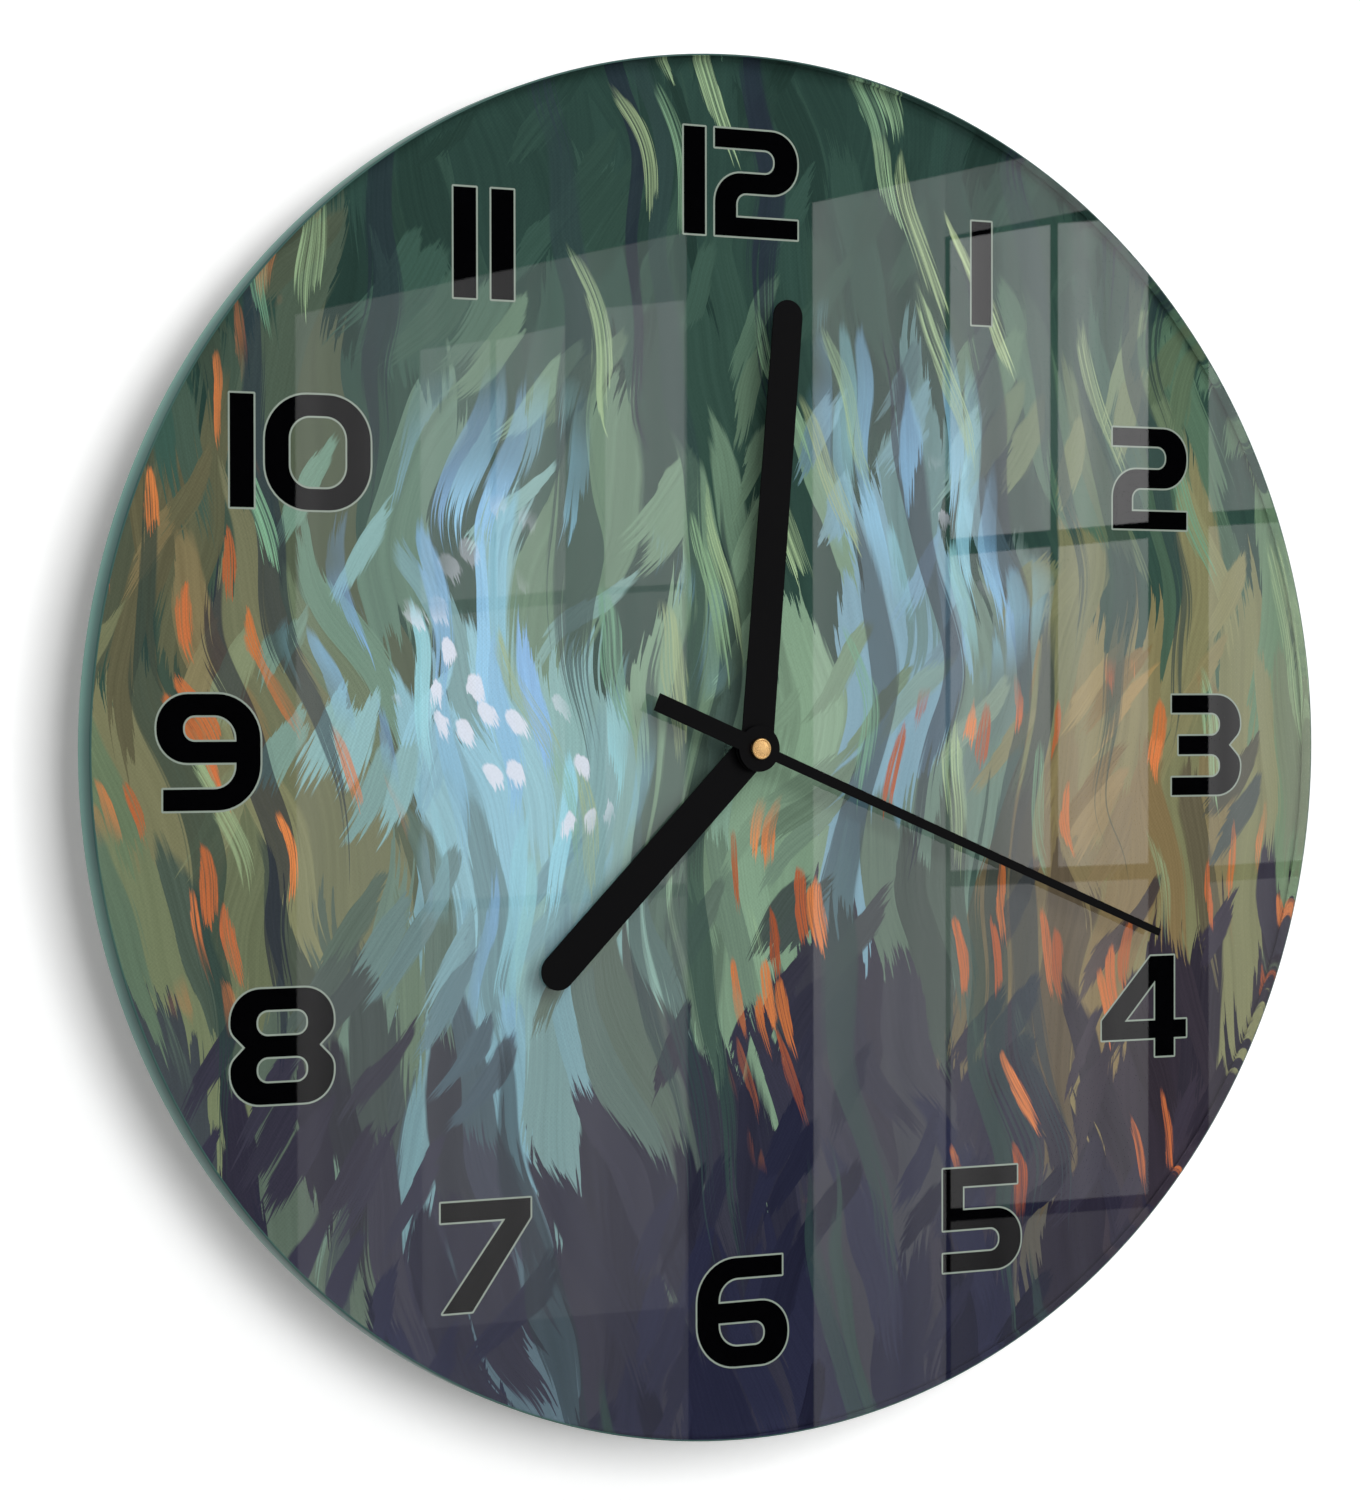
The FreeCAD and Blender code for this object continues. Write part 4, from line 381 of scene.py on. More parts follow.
def make_paint_field():
    """The large soft colour areas that every brush mark takes its colour from."""
    tree, given, out = new_group(
        "paint_field",
        [("Vector", "NodeSocketVector", None)],
        [("Colour", "NodeSocketColor"), ("Glow", "NodeSocketFloat"), ("Ember", "NodeSocketFloat")],
    )
    vector = given.outputs["Vector"]
    drift = noise(tree, vector, 1.7, 3.0, 0.55, "Color")
    pushed = vector_calc(tree, "SUBTRACT", drift, (0.5, 0.5, 0.5))
    warped = vector_calc(tree, "MULTIPLY_ADD", pushed, (0.75, 0.75, 0.0), vector)
    parts = axes(tree, warped)
    leaning = plus(tree, parts["Y"], times(tree, parts["X"], -0.12))
    ground = ramp(
        tree,
        between(tree, leaning, -1.0, 1.0),
        [
            (0.0, paint(34, 34, 54)),
            (0.22, paint(42, 43, 64)),
            (0.34, paint(60, 58, 70)),
            (0.44, paint(88, 104, 92)),
            (0.58, paint(118, 140, 110)),
            (0.72, paint(98, 124, 100)),
            (0.84, paint(62, 88, 78)),
            (1.0, paint(46, 68, 62)),
        ],
    )

    def patch(centre, size, low, high):
        """A soft patch: 1 at its centre, 0 outside."""
        spot = add_node(
            tree,
            "Mapping",
            {"Vector": warped, "Location": centre, "Scale": size},
            vector_type="TEXTURE",
        )
        reach = add_node(tree, "VectorMath", {0: spot.outputs[0]}, operation="LENGTH")
        return minus(tree, 1.0, between(tree, reach.outputs["Value"], low, high))

    colour = ground
    for centre, size, share, shade in (
        ((0.70, 0.12, 0.0), (0.40, 0.50, 1.0), 0.85, paint(156, 126, 82)),
        ((-0.78, 0.30, 0.0), (0.26, 0.46, 1.0), 0.75, paint(138, 112, 78)),
        ((0.84, -0.40, 0.0), (0.50, 0.40, 1.0), 0.90, paint(60, 52, 62)),
        ((-0.86, -0.34, 0.0), (0.42, 0.40, 1.0), 0.90, paint(54, 50, 66)),
        ((-0.10, 0.16, 0.0), (0.62, 0.56, 1.0), 0.70, paint(144, 172, 148)),
    ):
        area = times(tree, patch(centre, size, 0.2, 1.0), share)
        colour = blend_colours(tree, area, colour, shade)
    glow = patch((-0.36, 0.04, 0.0), (0.28, 0.46, 1.0), 0.1, 1.0)
    colour = blend_colours(tree, times(tree, glow, 0.9), colour, paint(142, 190, 216))
    second = patch((0.28, 0.36, 0.0), (0.20, 0.36, 1.0), 0.1, 1.0)
    colour = blend_colours(tree, times(tree, second, 0.7), colour, paint(128, 166, 206))
    embers = patch((0.60, -0.30, 0.0), (0.62, 0.50, 1.0), 0.25, 1.0)
    embers = highest(tree, embers, patch((-0.84, 0.16, 0.0), (0.26, 0.60, 1.0), 0.3, 1.0))
    glow = highest(tree, glow, times(tree, second, 0.6))
    link_results(tree, out, Colour=colour, Glow=glow, Ember=embers)
    return tree


def make_brush_marks():
    """One pass of brush marks: where they lie, their bristles and the spot that colours each."""
    tree, given, out = new_group(
        "brush_marks",
        [
            ("Vector", "NodeSocketVector", None),
            ("Size", "NodeSocketVector", (0.1, 0.3, 1.0)),
            ("Turn", "NodeSocketVector", (0.0, 0.0, 0.0)),
            ("Start", "NodeSocketVector", (0.0, 0.0, 0.0)),
            ("Cover", "NodeSocketFloat", 0.5),
            ("Reach", "NodeSocketFloat", 0.5),
        ],
        [
            ("Mask", "NodeSocketFloat"),
            ("Tone", "NodeSocketFloat"),
            ("Hue", "NodeSocketFloat"),
            ("Bristle", "NodeSocketFloat"),
            ("Spot", "NodeSocketVector"),
        ],
    )
    size, turn, start = (given.outputs[n] for n in ("Size", "Turn", "Start"))
    laid = add_node(
        tree,
        "Mapping",
        {"Vector": given.outputs["Vector"], "Location": start, "Rotation": turn, "Scale": size},
        vector_type="TEXTURE",
    )
    laid = laid.outputs[0]
    hair = vector_calc(tree, "MULTIPLY", laid, (11.0, 0.55, 1.0))
    bristle = noise(tree, hair, 1.0, 3.0, 0.65)
    wobble = noise(tree, laid, 2.2, 2.0, 0.5, "Color")
    bent = vector_calc(tree, "MULTIPLY_ADD", wobble, (0.34, 0.30, 0.0), laid)
    ends = add_node(tree, "CombineXYZ", {1: times(tree, bristle, 0.75)})
    ragged = vector_calc(tree, "ADD", bent, ends.outputs[0])
    cells = add_node(
        tree,
        "TexVoronoi",
        {"Vector": ragged, "Scale": 1.0, "Randomness": 0.95},
        voronoi_dimensions="2D",
        feature="F1",
    )
    dice = add_node(tree, "SeparateColor", {0: cells.outputs["Color"]})
    chosen = below(tree, dice.outputs[0], given.outputs["Cover"])
    near = minus(tree, given.outputs["Reach"], cells.outputs["Distance"])
    body = between(tree, plus(tree, near, swing(tree, bristle, 0.5, 0.5)), -0.03, 0.05)
    back = add_node(
        tree,
        "Mapping",
        {"Vector": cells.outputs["Position"], "Location": start, "Rotation": turn, "Scale": size},
        vector_type="POINT",
    )
    mask = times(tree, chosen, body)
    tone, hue, spot = dice.outputs[1], dice.outputs[2], back.outputs[0]
    link_results(tree, out, Mask=mask, Tone=tone, Hue=hue, Bristle=bristle, Spot=spot)
    return tree


FIELD = make_paint_field()
MARKS = make_brush_marks()


def make_print_material():
    """Loose brush marks in greens, indigo and pale blue on the front; white backing behind."""
    material, tree, place = new_material("printed_film")
    parts = axes(tree, place)
    across = times(tree, parts["X"], 1.0 / GLASS_RADIUS)
    upward = times(tree, parts["Z"], 1.0 / GLASS_RADIUS)
    flat = add_node(tree, "CombineXYZ", {0: across, 1: upward}).outputs[0]
    current = noise(tree, flat, 1.3, 2.0, 0.5, "Color")
    centred = vector_calc(tree, "SUBTRACT", current, (0.5, 0.5, 0.5))
    flow = vector_calc(tree, "MULTIPLY_ADD", centred, (0.42, 0.16, 0.0), flat)

    def marks(width, length, turn, start, cover, reach):
        return use_group(
            tree,
            MARKS,
            Vector=flow,
            Size=(width, length, 1.0),
            Turn=(0.0, 0.0, math.radians(turn)),
            Start=(start, start * 1.7, 0.0),
            Cover=cover,
            Reach=reach,
        )

    def shaded(mark, colour, tones, streak):
        """The colour, made lighter or darker from mark to mark and along its bristles."""
        tone = swing(tree, mark.outputs["Tone"], 0.5, tones)
        line = swing(tree, mark.outputs["Bristle"], 0.5, streak)
        return scaled(tree, colour, plus(tree, 1.0, plus(tree, tone, line)))

    wash = use_group(tree, FIELD, Vector=flow)
    colour = wash.outputs["Colour"]
    for width, length, turn, start, cover, reach, tones, streak in (
        (0.150, 0.62, 6.0, 3.1, 1.00, 2.0, 0.40, 0.55),
        (0.085, 0.46, -9.0, 7.7, 0.62, 0.62, 0.50, 0.60),
        (0.055, 0.30, 14.0, 1.3, 0.50, 0.60, 0.55, 0.60),
        (0.040, 0.15, -34.0, 5.9, 0.30, 0.55, 0.50, 0.60),
    ):
        mark = marks(width, length, turn, start, cover, reach)
        source = use_group(tree, FIELD, Vector=mark.outputs["Spot"])
        laid = shaded(mark, source.outputs["Colour"], tones, streak)
        colour = blend_colours(tree, mark.outputs["Mask"], colour, laid)

    def dry(mark, low, high):
        """The mark's mask broken up where the bristles ran dry."""
        bristles = between(tree, mark.outputs["Bristle"], low, high)
        return times(tree, mark.outputs["Mask"], bristles)

    shadows = marks(0.050, 0.85, 4.0, 11.2, 0.24, 0.50)
    deep = blend_colours(tree, shadows.outputs["Hue"], paint(44, 46, 66), paint(52, 74, 68))
    colour = blend_colours(
        tree, times(tree, shadows.outputs["Mask"], 0.72), colour, shaded(shadows, deep, 0.4, 0.7)
    )
    lights = marks(0.034, 0.26, -3.0, 2.4, 0.62, 0.46)
    bright = blend_colours(tree, lights.outputs["Hue"], paint(132, 176, 226), paint(150, 204, 212))
    share = times(tree, lights.outputs["Mask"], between(tree, wash.outputs["Glow"], 0.12, 0.55))
    gleam = shaded(lights, bright, 0.35, 0.5)
    colour = blend_colours(tree, times(tree, share, 0.85), colour, gleam)
    moss = marks(0.034, 0.22, 16.0, 9.4, 0.12, 0.50)
    leaf = blend_colours(tree, moss.outputs["Hue"], paint(112, 160, 134), paint(170, 184, 140))
    colour = blend_colours(
        tree,
        times(tree, dry(moss, 0.38, 0.62), between(tree, parts["Z"], -0.07, 0.0)),
        colour,
        shaded(moss, leaf, 0.4, 0.6),
    )
    embers = marks(0.022, 0.11, 8.0, 6.6, 0.13, 0.50)
    hot = blend_colours(tree, embers.outputs["Hue"], paint(226, 134, 78), paint(168, 86, 58))
    where = between(tree, wash.outputs["Ember"], 0.08, 0.35)
    share = times(tree, dry(embers, 0.34, 0.50), where)
    colour = blend_colours(tree, share, colour, shaded(embers, hot, 0.4, 0.6))
    sparks = marks(0.036, 0.055, 10.0, 4.8, 0.30, 0.34)
    share = times(tree, sparks.outputs["Mask"], between(tree, wash.outputs["Glow"], 0.5, 0.75))
    colour = blend_colours(tree, times(tree, share, 0.9), colour, paint(226, 226, 240))

    threads = 2.0 * math.pi / (0.9 * MM)
    warp = calc(tree, "SINE", times(tree, parts["X"], threads))
    weft = calc(tree, "SINE", times(tree, parts["Z"], threads))
    cloth = times(tree, warp, weft)
    worn = noise(tree, flat, 4.0, 3.0, 0.6)
    speckle = noise(tree, flat, 260.0, 2.0, 0.6)
    weave = times(tree, cloth, times(tree, between(tree, worn, 0.35, 0.65), 0.06))
    gain = plus(tree, 1.0, plus(tree, weave, swing(tree, speckle, 0.5, 0.22)))
    colour = scaled(tree, colour, gain)

    mottle = noise(tree, place, 320.0, 3.0, 0.6)
    backing = ramp(tree, mottle, [(0.3, paint(212, 213, 210)), (0.7, paint(219, 220, 217))])
    front = below(tree, parts["Y"], -PRINT_MIDDLE)
    colour = blend_colours(tree, front, backing, colour)
    geometry = tree.nodes.new("ShaderNodeNewGeometry")
    on_glass = below(tree, parts["Y"], -GLASS_BACK + 0.02 * MM)
    front_side = minus(tree, 1.0, geometry.outputs["Backfacing"])
    from_outside = times(tree, on_glass, front_side)
    colour = blend_colours(tree, from_outside, colour, paint(96, 144, 134))
    rough = plus(tree, 0.5, times(tree, mottle, 0.2))
    shader = add_principled(tree, colour, rough, Specular_IOR_Level=0.0)
    show(tree, shader.outputs[0])
    return material


# Glass


def make_clear_glass():
    """Polished float glass; light rays for the print behind it pass straight through."""
    material, tree, place = new_material("clear_glass")
    smear = noise(tree, place, 22.0, 3.0, 0.6)
    tint = ramp(tree, smear, [(0.3, (0.93, 0.975, 0.96, 1.0)), (0.7, (0.945, 0.98, 0.968, 1.0))])
    rough = times(tree, between(tree, smear, 0.45, 0.75), 0.012)
    shader = add_principled(tree, tint, rough, IOR=GLASS_IOR, Transmission_Weight=1.0)
    passing = add_node(tree, "BsdfTransparent", {"Color": (0.97, 0.99, 0.985, 1.0)})
    path = tree.nodes.new("ShaderNodeLightPath")
    through = highest(tree, path.outputs["Is Shadow Ray"], path.outputs["Is Diffuse Ray"])
    both = add_node(tree, "MixShader", {0: through, 1: shader.outputs[0], 2: passing.outputs[0]})
    show(tree, both.outputs[0])
    return material


def make_bonded_glass():
    """The disc's back, where the film is laid onto the glass with no air between."""
    material, tree, place = new_material("bonded_glass")
    smear = noise(tree, place, 30.0, 2.0, 0.5)
    tint = ramp(tree, smear, [(0.3, (0.985, 0.995, 0.99, 1.0)), (0.7, (1.0, 1.0, 1.0, 1.0))])
    show(tree, add_node(tree, "BsdfTransparent", {"Color": tint}).outputs[0])
    return material


def make_edge_glass_with_painted_light():
    """The ground and polished rim: deep green from outside, with a painted highlight that lightens
    it towards the back face and tan patches of painted reflection; a mirror from inside the glass.
    """
    material, tree, place = new_material("edge_glass")
    across = between(tree, axes(tree, place)["Y"], -GLASS_FRONT, -GLASS_BACK)
    ground = noise(tree, place, 420.0, 3.0, 0.6)
    cloud = noise(tree, place, 26.0, 3.0, 0.6)
    depth = calc(tree, "ADD", across, swing(tree, cloud, 0.5, 0.5), clamp=True)
    # Painted highlight: the rim's teal runs from dark at the front face to light at the back face.
    colour = ramp(
        tree,
        depth,
        [
            (0.0, paint(40, 80, 82)),
            (0.35, paint(62, 110, 108)),
            (0.75, paint(92, 150, 141)),
            (1.0, paint(116, 170, 158)),
        ],
    )
    # Painted reflection: tan patches laid over the teal where the noise is high.
    colour = blend_colours(tree, times(tree, cloud, 0.3), colour, paint(116, 140, 108))
    rough = plus(tree, 0.26, times(tree, ground, 0.12))
    outside = add_principled(tree, colour, rough, IOR=GLASS_IOR, Specular_IOR_Level=0.25)
    relief(tree, outside, ground, 0.000002)
    tint = (0.22, 0.36, 0.33, 1.0)
    inside = add_principled(tree, tint, 0.0, IOR=GLASS_IOR, Transmission_Weight=1.0)
    geometry = tree.nodes.new("ShaderNodeNewGeometry")
    faces = add_node(
        tree,
        "MixShader",
        {0: geometry.outputs["Backfacing"], 1: outside.outputs[0], 2: inside.outputs[0]},
    )
    show(tree, faces.outputs[0])
    return material


# Other finishes


def make_foam_material():
    material, tree, place = new_material("foam_tape")
    cells = add_node(tree, "TexVoronoi", {"Vector": place, "Scale": 1600.0}, feature="F1")
    lumps = noise(tree, place, 240.0, 3.0, 0.6)
    shade = plus(tree, cells.outputs["Distance"], lumps)
    colour = ramp(tree, shade, [(0.35, paint(24, 24, 26)), (1.1, paint(62, 62, 66))])
    rough = plus(tree, 0.8, times(tree, lumps, 0.15))
    shader = add_principled(tree, colour, rough, Specular_IOR_Level=0.25)
    relief(tree, shader, cells.outputs["Distance"], 0.0001)
    show(tree, shader.outputs[0])
    return material


def make_cover_material(knob):
    """The rear cover: black moulding with arrows round the knob, polarity signs and pin marks; the
    raised arrows and signs are drawn lighter as a painted highlight and the sunk pin marks darker
    as painted shade.
    """
    material, tree, place = new_material("rear_cover_moulding")
    effect = use_group(
        tree,
        MOULDED,
        Vector=place,
        Colour=paint(40, 40, 43),
        Grain=2600.0,
        Roughness=0.5,
        Unevenness=0.25,
    )
    moved = add_node(tree, "Mapping", {"Vector": place, "Location": (-knob.x, 0.0, -knob.z)})
    parts = axes(tree, moved.outputs[0])
    across, upward = parts["X"], parts["Z"]
    radius = distance(tree, across, upward)
    angle = calc(tree, "ARCTAN2", upward, across)
    ring = calc(tree, "COMPARE", radius, ARROW_RADIUS, 0.28 * MM)
    steep = absolute(tree, calc(tree, "SINE", angle))
    arcs = times(tree, ring, below(tree, steep, 0.86))
    turn = calc(tree, "FRACT", calc(tree, "DIVIDE", angle, math.pi))
    along = between(tree, turn, 0.27, 0.36)
    taper = times(tree, minus(tree, 1.0, along), 1.1 * MM)
    head = below(tree, absolute(tree, minus(tree, radius, ARROW_RADIUS)), taper)
    head = times(tree, head, above(tree, turn, 0.27))
    head = times(tree, head, below(tree, turn, 0.36))
    flat = axes(tree, place)
    rear = above(tree, flat["Y"], -0.2 * MM)
    mark = times(tree, highest(tree, arcs, head), rear)

    def aside(axis, centre):
        """How far a point is from a line across the cover."""
        return absolute(tree, minus(tree, flat[axis], centre * MM))

    def block(across_mm, upward_mm, half_width, half_height):
        wide = below(tree, aside("X", across_mm), half_width * MM)
        tall = below(tree, aside("Z", upward_mm), half_height * MM)
        return times(tree, wide, tall)

    signs = highest(tree, block(21.0, -7.8, 1.7, 0.3), block(21.0, -7.8, 0.3, 1.7))
    signs = highest(tree, signs, block(-21.0, -7.8, 1.7, 0.3))
    signs = times(tree, signs, rear)
    sunk = 0.0
    for across_mm, upward_mm in ((-22.5, 22.5), (22.5, 22.5), (-22.5, 2.0), (22.5, 2.0)):
        reach = distance(tree, aside("X", across_mm), aside("Z", upward_mm))
        sunk = plus(tree, below(tree, reach, 1.6 * MM), sunk)
    sunk = times(tree, sunk, rear)
    colour = effect.outputs["Colour"]
    # Painted shade in the sunk pin marks, painted highlight on the raised signs and arrows.
    for mask, tone in (
        (sunk, paint(32, 32, 35)),
        (signs, paint(74, 74, 78)),
        (mark, paint(150, 150, 152)),
    ):
        colour = blend_colours(tree, times(tree, mask, 0.8), colour, tone)
    shader = add_principled(tree, colour, effect.outputs["Roughness"], Specular_IOR_Level=0.4)
    height = plus(tree, times(tree, effect.outputs["Height"], 0.4), mark)
    height = plus(tree, height, minus(tree, signs, sunk))
    relief(tree, shader, height, 0.00005)
    show(tree, shader.outputs[0])
    return material


def make_cell_material(low, high):
    """The cell's sleeve: dark wrap, copper-coloured band and plus and minus signs, bare ends."""
    material, tree, place = new_material("cell_sleeve")
    parts = axes(tree, place)
    run = parts["X"]
    grain = noise(tree, place, 900.0, 2.0, 0.5)
    band = above(tree, run, high - 15.0 * MM)
    thin = calc(tree, "COMPARE", run, high - 16.4 * MM, 0.4 * MM)
    wrap = blend_colours(tree, band, paint(30, 31, 35), paint(176, 104, 58))
    wrap = blend_colours(tree, thin, wrap, paint(196, 190, 176))
    rise = absolute(tree, minus(tree, parts["Z"], CELL_AXIS))

    def bar(centre, wide, tall):
        reach = absolute(tree, minus(tree, run, centre))
        return times(tree, below(tree, reach, wide), below(tree, rise, tall))

    plus_at, minus_at = high - 7.5 * MM, low + 6.5 * MM
    long_side, short_side = 1.9 * MM, 0.4 * MM
    signs = bar(plus_at, short_side, long_side)
    signs = highest(tree, signs, bar(plus_at, long_side, short_side))
    signs = highest(tree, signs, bar(minus_at, long_side, short_side))
    wrap = blend_colours(tree, signs, wrap, paint(224, 222, 214))
    right_end = above(tree, run, high - 0.9 * MM)
    left_end = below(tree, run, low + 0.5 * MM)
    bare = highest(tree, right_end, left_end)
    colour = blend_colours(tree, bare, wrap, paint(196, 197, 199))
    shade = scaled(tree, colour, plus(tree, 0.94, times(tree, grain, 0.12)))
    rough = plus(tree, 0.26, times(tree, grain, 0.14))
    shader = add_principled(tree, shade, rough, Metallic=bare, Coat_Weight=0.3)
    show(tree, shader.outputs[0])
    return material


def make_winding_material():
    """Close turns of enamelled wire along the coil."""
    material, tree, place = new_material("copper_turns")
    wave = times(tree, axes(tree, place)["X"], 2.0 * math.pi / (0.22 * MM))
    turns = calc(tree, "SINE", wave)
    stain = noise(tree, place, 500.0, 3.0, 0.6)
    colour = ramp(tree, stain, [(0.3, paint(150, 74, 40)), (0.7, paint(206, 122, 72))])
    rough = plus(tree, 0.25, times(tree, stain, 0.2))
    shader = add_principled(tree, colour, rough, Metallic=1.0)
    relief(tree, shader, turns, 0.00004)
    show(tree, shader.outputs[0])
    return material


def make_board_material():
    """Solder mask with copper tracks showing through as lighter lines."""
    material, tree, place = new_material("circuit_laminate")
    tracks = add_node(
        tree,
        "TexVoronoi",
        {"Vector": place, "Scale": 420.0, "Randomness": 0.7},
        feature="F1",
        distance="CHEBYCHEV",
    )
    lanes = calc(tree, "COMPARE", tracks.outputs["Distance"], 0.30, 0.05)
    grain = noise(tree, place, 1500.0, 3.0, 0.6)
    base = blend_colours(tree, grain, paint(28, 84, 50), paint(38, 104, 64))
    colour = blend_colours(tree, times(tree, lanes, 0.7), base, paint(66, 142, 90))
    rough = plus(tree, 0.3, times(tree, grain, 0.2))
    shader = add_principled(tree, colour, rough, Coat_Weight=0.4)
    relief(tree, shader, lanes, 0.00003)
    show(tree, shader.outputs[0])
    return material


def ink(name, colour):
    """Printing ink behind the glass, which has no gloss of its own there."""
    return moulded(name, colour, 0.5, 4000.0, 0.000002, 0.3, Specular_IOR_Level=0.0)


UPRIGHT_LINES = (6000.0, 6000.0, 300.0)
hand_lacquer = moulded(
    "hand_lacquer", paint(8, 8, 9), 0.42, 5200.0, 0.000006, 0.25, Specular_IOR_Level=0.07
)
materials = {
    "artwork_print": make_print_material(),
    "hour_numerals": ink("numeral_ink", paint(3, 3, 4)),
    "numeral_keylines": ink("keyline_ink", paint(150, 158, 148)),
    "foam_mounting_pad": make_foam_material(),
    "front_case": moulded("case_moulding", paint(36, 36, 39), 0.55, 2400.0, 0.00003, 0.25),
    "centre_bush": turned("bush_brass", (0.80, 0.60, 0.30, 1.0), 0.24),
    "stator": rolled("stator_steel", (0.50, 0.51, 0.53, 1.0), 0.34),
    "coil_core": rolled("core_steel", (0.55, 0.56, 0.58, 1.0), 0.36),
    "coil_bobbin": moulded("bobbin_moulding", paint(78, 78, 82), 0.5),
    "coil_winding": make_winding_material(),
    "circuit_board": make_board_material(),
    "chip_cover": moulded("chip_resin", paint(18, 18, 19), 0.3, 900.0, 0.00006, 0.3),
    "quartz_crystal": rolled("crystal_can", (0.75, 0.75, 0.77, 1.0), 0.22),
    "contact_plus": rolled("contact_plate_plus", (0.72, 0.71, 0.68, 1.0), 0.22, UPRIGHT_LINES),
    "contact_minus": rolled("contact_plate_minus", (0.72, 0.71, 0.68, 1.0), 0.22, UPRIGHT_LINES),
    "plate_screws": rolled("screw_zinc", (0.62, 0.62, 0.64, 1.0), 0.3),
    "stator_screws": rolled("small_screw_zinc", (0.60, 0.60, 0.62, 1.0), 0.3),
    "clutch_spring": rolled("clutch_brass", (0.75, 0.60, 0.32, 1.0), 0.28),
    "second_arbor": rolled("arbor_steel", (0.70, 0.70, 0.72, 1.0), 0.2, (6000.0, 200.0, 6000.0)),
    "setting_knob": moulded("knob_moulding", paint(62, 62, 66), 0.48, 2600.0, 0.00002, 0.2),
    "rotor_magnet": moulded(
        "rotor_magnet_alloy", (0.22, 0.22, 0.23, 1.0), 0.45, 3500.0, 0.00001, 0.3, Metallic=1.0
    ),
}
knob_low, knob_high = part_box("setting_knob")
knob_middle = (knob_low + knob_high) / 2.0
cell_low, cell_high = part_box("aa_battery")
materials["rear_cover"] = make_cover_material(knob_middle)
materials["aa_battery"] = make_cell_material(cell_low.x, cell_high.x)
for hand in ("hour_hand", "minute_hand", "second_hand"):
    materials[hand] = hand_lacquer
    materials[hand + "_socket"] = turned(hand + "_socket_brass", (0.72, 0.56, 0.28, 1.0))
# Gear plastic with a light coat of gloss
for wheel, colour in (
    ("train_plate", paint(222, 222, 216)),
    ("hour_wheel", paint(232, 229, 218)),
    ("minute_tube", paint(234, 232, 226)),
    ("second_wheel", paint(236, 236, 230)),
    ("third_wheel", paint(236, 236, 230)),
    ("intermediate_wheel", paint(236, 236, 230)),
    ("minute_drive_wheel", paint(226, 208, 150)),
    ("motion_wheel", paint(160, 188, 220)),
    ("setting_pinion", paint(160, 188, 220)),
    ("rotor_pinion", paint(226, 132, 120)),
):
    materials[wheel] = moulded(
        wheel + "_acetal", colour, 0.32, 5000.0, 0.000006, 0.10, Coat_Weight=0.15
    )

for name, finish in materials.items():
    node_mesh = nodes[name].data
    if not node_mesh.materials:
        node_mesh.materials.append(finish)
    for index in range(len(nodes[name].material_slots)):
        nodes[name].material_slots[index].material = finish


# New pieces


def add_piece(name, shape, body, slot, *finishes, sharp=35.0):
    """Ends a bmesh as a piece at the origin that rides on a body."""
    bmesh.ops.recalc_face_normals(shape, faces=shape.faces)
    mesh = bpy.data.meshes.new(name)
    shape.to_mesh(mesh)
    shape.free()
    mesh.shade_smooth()
    mesh.set_sharp_from_angle(angle=math.radians(sharp))
    piece = bpy.data.objects.new(name, mesh)
    bpy.context.scene.collection.objects.link(piece)
    for finish in finishes:
        mesh.materials.append(finish)
    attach(piece, body)
    return piece


def spin_profile(points, centre, axis, steps):
    """A closed turned shape from a profile that starts and ends on the axis."""
    shape = bmesh.new()
    corners = [shape.verts.new(p) for p in points]
    edges = [shape.edges.new(pair) for pair in zip(corners, corners[1:])]
    bmesh.ops.spin(
        shape,
        geom=corners + edges,
        cent=centre,
        axis=axis,
        dvec=(0.0, 0.0, 0.0),
        angle=2.0 * math.pi,
        steps=steps,
        use_merge=True,
        use_duplicate=False,
    )
    bmesh.ops.remove_doubles(shape, verts=shape.verts, dist=1e-7)
    return shape


def round_edges(shape, edges, size, steps, clamp=False):
    bmesh.ops.bevel(
        shape,
        geom=edges,
        offset=size,
        offset_type="OFFSET",
        segments=steps,
        profile=0.5,
        affect="EDGES",
        clamp_overlap=clamp,
        material=-1,
    )


